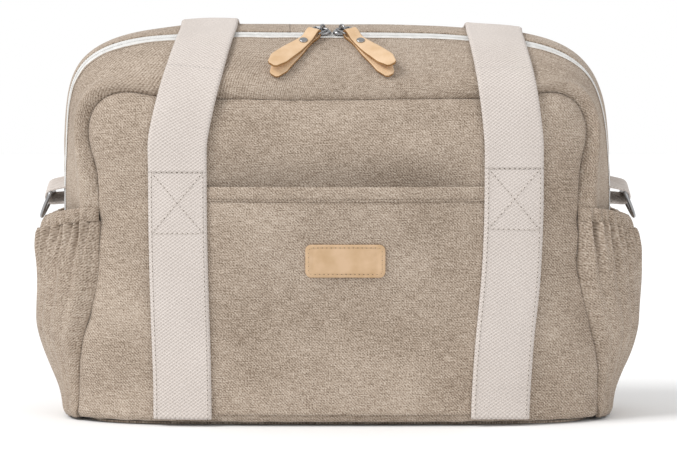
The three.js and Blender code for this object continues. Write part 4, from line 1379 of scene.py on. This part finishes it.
def handles():
    """The front handle: sewn legs, free spans up to the ridge, and the loop laid back over it."""
    front = Webbing(handle_line(FRONT_LEGS, 1, 0.0, 20.0))
    for place, last in (("left", False), ("right", True)):
        foot = front.length if last else 0.0
        sewn = front.reach_of(SEWN_ARC, last)
        split = front.reach_of(SPLIT_ARC, last)
        leg = front.piece(f"front_strap_{place}_sewn", foot, sewn, [f"front_handle_leg_{place}"])
        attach(leg, "bag")
        rise = front.piece(f"front_strap_{place}_rise", sewn, split, [f"front_handle_span_{place}"])
        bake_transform(rise)
        strap_stitching(f"front_strap_{place}_stitching", front, foot, sewn)
    bow = front.piece("front_strap_bow", front.reach_of(SPLIT_ARC), front.reach_of(SPLIT_ARC, True),
                      ["front_handle_loop"], BOW_TUCK)
    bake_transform(bow)
    rear_handle()


def rear_handle():
    """Two legs sewn up the back to a fold, and the bow that hangs from the fold over them."""
    up = Webbing(handle_line(REAR_LEGS, -1, -20.0, 0.0))
    for place, last in (("left", False), ("right", True)):
        foot = up.length if last else 0.0
        fold = up.reach_of(REAR_FOLD_ARC, last)
        leg = up.piece(f"rear_strap_{place}_sewn", foot, fold, [f"rear_handle_leg_{place}"])
        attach(leg, "bag")
        strap_stitching(f"rear_strap_{place}_stitching", up, foot, up.reach_of(-SEWN_ARC, last))
    left_x, right_x = leg_pair(REAR_LEGS, REAR_FOLD_ARC)
    low = REAR_FOLD_ARC - REAR_DROP
    straight = np.linspace(REAR_FOLD_ARC, low, 40)
    line = np.concatenate([upright(left_x, straight), bow_line(left_x, right_x, low),
                           upright(right_x, straight)[::-1]])
    hanging = Webbing(line, WEBBING_THICK + 0.6)
    bow = hanging.piece("rear_strap_bow", 0.0, hanging.length, ["rear_handle_loop"])
    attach(bow, "rear_handle_bow")


SEW_BOX = 42.0
SEW_INSET = 2.4


def strap_stitching(name, band, foot, sewn):
    """Edge rows down a sewn leg and a crossed box at its top."""
    box = sewn + (SEW_BOX if foot > sewn else -SEW_BOX)
    edge = WEBBING_WIDTH / 2 - SEW_INSET
    lines = [(sewn, -edge, foot, -edge), (sewn, edge, foot, edge), (sewn, -edge, sewn, edge),
             (box, -edge, box, edge), (sewn, -edge, box, edge), (sewn, edge, box, -edge)]

    def row(start, side_from, end, side_to):
        def path(t):
            distance, offset = mix(start, end, t), mix(side_from, side_to, t)
            return band.spot(distance, offset), band.height(distance, offset / WEBBING_WIDTH + 0.5)
        return needle_row(path, max(int(abs(end - start)), 40), 3.4, 0.3)

    thread(name, [row(*line) for line in lines], MATERIAL["cream_thread"], "bag", "webbing")


def zip_stitching():
    """Topstitching along both sides of the zip, cut free along the lip."""
    first, last = ZIP_START + 0.01, math.pi - ZIP_START - 0.01
    right, left = zip_angle(ZIP_SPLIT_RIGHT), zip_angle(ZIP_SPLIT_LEFT)

    def row(start, end, rearward):
        def path(t):
            return zip_base(mix(start, end, t), rearward), 0.75
        return needle_row(path, 40 + int(abs(end - start) * 200), 3.0, 0.25)

    offset = TAPE_EDGE + SEW_INSET
    rows = [row(first, last, -offset), row(first, right, offset), row(left, last, offset)]
    thread("zip_topstitching", rows, MATERIAL["thread"], "bag")
    for place, start, end in (("right", right, ZIP_MIDDLE), ("left", ZIP_MIDDLE, left)):
        lip_blend(thread(f"lip_topstitching_{place}", [row(start, end, offset)],
                         MATERIAL["thread"], None))


# ---------- sliders and pulls ----------
SLIDERS = {"left": {"x": -11.2, "lean": -0.56}, "right": {"x": 3.2, "lean": 0.56}}
SLIDER_ARC = -DOME_RADIUS * math.asin(ZIP_Y / DOME_RADIUS)
SLIDER = {"length": 6.7, "width": 4.6, "low": 1.05, "high": 2.7, "bridge_wire": 0.85}
# The bridge over a slider as (distance along the pull, height).
BRIDGE = ((-3.3, 2.2), (-3.2, 4.6), (-2.2, 6.3), (0, 6.9), (2.2, 6.3), (3.2, 4.6), (3.3, 2.2))
RING = {"reach": 11.0, "half": 5.1, "wire": 0.75, "height": 4.75, "droop": 0.3, "corner": 1.2}
# The pull: the lengths of its two layers from the fold, the fold's radius, how far its top layer
# springs up, how far its lower one clears the cloth, and the height of its underside.
PULL = {"top": 49.0, "bottom": 52.0, "thick": 1.7, "fold": 2.6, "rivet": 13.0, "spread": 7.5,
        "clear": 1.6, "low": 1.2, "fan": 0.09}


def slider_frame(slider):
    """A slider's origin, and its up, zip, pull and sideways directions."""
    origin = over_top_base(slider["x"], SLIDER_ARC)
    up = normal_at(origin)
    along = unit(over_top_base(slider["x"] + 1, SLIDER_ARC) - origin)
    forward = unit(np.cross(along, up))
    pull = forward * math.cos(slider["lean"]) + along * math.sin(slider["lean"])
    return origin, up, along, pull, np.cross(pull, up)


def metal_hardware():
    for place, slider in SLIDERS.items():
        slider_body(place, slider)
        pull_ring(place, slider)
        pull_leather(place, slider)
        pull_rivet(place, slider)
    for place, side in (("left", -1), ("right", 1)):
        dring(place, side)
        dring_tab(place, side)


def signed_power(value, power):
    return np.sign(value) * np.abs(value) ** power


def slider_body(place, slider):
    """A cast slider: a domed shield-shaped plate with a bridge over it for the ring."""
    origin, up, along, pull, _ = slider_frame(slider)
    across = np.cross(up, along)

    def point(u, v, depth):
        turn = 2 * math.pi * u
        taper = 1 - 0.16 * np.cos(turn)
        out = np.sin(v * math.pi / 2) ** 0.9
        a = SLIDER["length"] * signed_power(np.cos(turn), 0.8) * out
        w = SLIDER["width"] * taper * signed_power(np.sin(turn), 0.8) * out
        dome = SLIDER["high"] * np.maximum(1 - out ** 3, 0) ** 0.5 + 0.3
        h = SLIDER["low"] + np.where(depth > 0, 0, dome)
        return origin + along * a[:, None] + across * w[:, None] + up * h[:, None]

    plate = cloth(f"slider_{place}_plate", 48, 12, point, 1.0, "metal", round_u=True)
    placed(plate, f"{place}_slider", "metal", f"slider_{place}")
    path = smooth_loop([origin + pull * s + up * h for s, h in BRIDGE], 40, closed=False)
    bridge = wire(f"slider_{place}_bridge", path, SLIDER["bridge_wire"], np.cross(pull, up), 12, False)
    placed(bridge, f"{place}_slider", "metal")


def wire(name, path, radius, plane, sides, closed=True):
    """A metal wire along a path."""
    points, faces = sweep(path, radius, plane, sides, closed)
    return new_mesh(name, points, face_out(points, faces), materials=[MATERIAL["metal"]])


def pull_ring(place, slider):
    """A flat rounded link of wire through the slider's bridge and the pull's fold."""
    origin, up, _, pull, cross = slider_frame(slider)
    reach, half, height = RING["reach"], RING["half"], RING["height"]
    corner, low = RING["corner"], height - RING["droop"]

    def at(s, w, h):
        return origin + pull * s + cross * w + up * h

    corners = [at(0, -half + 1, height), at(0, 0, height), at(0, half - 1, height),
               at(corner, half, height), at(reach - corner, half, low), at(reach, half - 1, low),
               at(reach, 0, low), at(reach, -half + 1, low), at(reach - corner, -half, low),
               at(corner, -half, height)]
    obj = wire(f"pull_ring_{place}_wire", smooth_loop(corners, 96), RING["wire"], up, 14)
    placed(obj, f"{place}_pull", "metal", f"pull_ring_{place}")


def pull_line():
    """The folded strip's middle line: distance along the pull, height, and which layer."""
    low = PULL["low"] + PULL["thick"] / 2
    fold = PULL["fold"]
    line = [(s, low + PULL["clear"] * rising(s, 18, 30), 0) for s in np.linspace(PULL["bottom"], 0, 40)]
    for i in range(1, 16):
        turn = math.pi * (1.5 - i / 16)
        line.append((fold * math.cos(turn), low + fold + fold * math.sin(turn), 0.5))
    for s in np.linspace(0, PULL["top"], 40):
        pressed = mix(low + 2 * fold, low + PULL["thick"] + 0.3, smooth(s / 9))
        line.append((s, pressed + PULL["spread"] * rising(s, 16, 46), 1))
    return np.array(line, float)


def pull_half_width(s, tip):
    """A pull narrows to its fold, and to a rounded blunt tip."""
    body = mix(4.4, 6.2, rising(s, 6, 22))
    left = np.maximum(tip - s, 0)
    taper = 3.2 + 0.36 * left
    rounded = np.sqrt(np.maximum(1 - (1 - np.minimum(left / 1.6, 1)) ** 2, 0))
    return np.maximum(np.minimum(body, taper) * (0.55 + 0.45 * rounded), 0.5)


def pull_place(slider, s, w, height):
    """A point of a pull, by its distance along it, its distance across and its height."""
    along = s + RING["reach"]
    lean = slider["lean"]
    x = slider["x"] + along * math.sin(lean) + w * math.cos(lean)
    arc = SLIDER_ARC + along * math.cos(lean) - w * math.sin(lean)
    return over_top(x, arc, height)


def pull_leather(place, slider):
    """A strip of leather folded through the ring, its layers springing apart at their tips."""
    line = pull_line()
    rows = len(line) - 1
    run = unit(np.gradient(line[:, :2], axis=0))
    fan_way = math.copysign(PULL["fan"], slider["lean"])

    def point(u, v, depth):
        k = np.round(v * rows).astype(int)
        s, h, layer = line[k].T
        across = 2 * u - 1
        soft = 0.1 * np.abs(across) ** 8
        off = PULL["thick"] / 2 - depth + np.where(depth > 0, soft, -soft)
        tip = np.where(layer == 1, PULL["top"], PULL["bottom"])
        fan = np.where(layer == 1, fan_way * np.maximum(s - PULL["rivet"], 0), 0)
        w = across * pull_half_width(np.maximum(s, 0), tip) + fan
        return pull_place(slider, s + off * run[k, 1], w, h - off * run[k, 0])

    obj = cloth(f"pull_{place}_leather", 16, rows, point, PULL["thick"],
                "pale_leather leather_edge")
    placed(obj, f"{place}_pull", "leather", f"pull_leather_{place}")


RIVET = {"radius": 2.9, "crown": 1.15, "thick": 1.2}


def pull_rivet(place, slider):
    """A low domed cap through both layers of the pull."""
    low = PULL["low"] + 2 * PULL["thick"] + 0.35

    def point(u, v, depth):
        turn = 2 * math.pi * u
        out = RIVET["radius"] * v
        crown = RIVET["crown"] * np.sqrt(np.maximum(1 - (0.93 * v) ** 4, 0)) - depth
        return pull_place(slider, PULL["rivet"] + out * np.cos(turn), out * np.sin(turn),
                          low + np.maximum(crown, 0))

    obj = cloth(f"pull_rivet_{place}_cap", 36, 10, point, RIVET["thick"], "metal", round_u=True)
    placed(obj, f"{place}_pull", "metal", f"pull_rivet_{place}")


# ---------- D-rings ----------
TAB = {"half": 12.5, "y": -14.0, "inner": 194.6, "outer": 206.5, "top": 169.0, "bend": 159.5,
       "lean": 0.3, "thick": 1.7}
DRING = {"x": 203.4, "z": 159.5, "reach": 19.0, "half": 14.5, "wire": 1.3, "droop": math.radians(24)}


def dring(place, side):
    """A D of wire: a straight bar through the tab, and a bow that hangs from it."""
    out = np.array([side * math.sin(DRING["droop"]), 0, -math.cos(DRING["droop"])])
    bar = np.array([side * DRING["x"], TAB["y"], DRING["z"]])
    reach, half = DRING["reach"], DRING["half"]
    outline = [(0, -half + 2), (0, -half / 2), (0, 0), (0, half / 2), (0, half - 2), (1.2, half),
               (reach * 0.45, half * 0.96), (reach * 0.82, half * 0.6), (reach, 0),
               (reach * 0.82, -half * 0.6), (reach * 0.45, -half * 0.96), (1.2, -half)]
    path = smooth_loop([bar + out * s + np.array([0, y, 0]) for s, y in outline], 120)
    obj = wire(f"dring_{place}_wire", path, DRING["wire"], unit(np.cross([0, 1, 0], out)), 16)
    placed(obj, f"{place}_dring", "metal", f"dring_{place}")


def dring_tab(place, side):
    """A short length of webbing folded round the ring's bar, its ends sewn into the seam."""
    inner, outer, bend = TAB["inner"], TAB["outer"], TAB["bend"]
    line = smooth_loop([(inner - 6, 0, TAB["top"] - 1.4), (inner + 1.5, 0, TAB["top"] - 2.6),
                        (outer - 2.6, 0, bend + 4.8), (outer, 0, bend + 2.0), (outer, 0, bend - 1.5),
                        (outer - 2.8, 0, bend - 4.4), (inner + 2.5, 0, bend - 4.2),
                        (inner - 6, 0, bend - 3.6)], 70, closed=False)
    run = unit(np.gradient(line, axis=0))
    rows = len(line) - 1
    lean_cos, lean_sin = math.cos(TAB["lean"]), math.sin(TAB["lean"])

    def point(u, v, depth):
        k = np.round(v * rows).astype(int)
        across = 2 * u - 1
        soft = 0.5 * fade((1 - np.abs(across)) * TAB["half"], 0.5)
        off = 1.0 - depth + np.where(depth > 0, soft, -soft)
        x = line[k, 0] - off * run[k, 2]
        y = across * TAB["half"]
        z = line[k, 2] + off * run[k, 0] - bend
        return columns(side * x, TAB["y"] + y * lean_cos - z * lean_sin,
                       bend + y * lean_sin + z * lean_cos)

    obj = cloth(f"dring_tab_{place}_webbing", 18, rows, point, TAB["thick"], "webbing",
                uv=lambda u, v: np.stack([u * 2 * TAB["half"], v * 40], -1))
    placed(obj, "bag", "webbing", f"dring_tab_{place}")


def carried_over():
    """The board inside the base keeps its CAD shape and is given its own material."""
    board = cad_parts["base_board"]
    board.data.materials.clear()
    board.data.materials.append(MATERIAL["board"])


# ---------- assembly ----------
set_stage()
face_panel("front_panel_cloth", -1)
face_panel("back_panel_cloth", 1)
front_yoke()
rear_band()
for where, sign in (("left", -1), ("right", 1)):
    side_gusset(where, sign)
    side_pocket(where, sign)
base_panel()
lining()
zip_parts()
front_pocket()
label_patch()
handles()
zip_stitching()
metal_hardware()
carried_over()


def plain(box):
    return [[float(c) for c in corner] for corner in box]
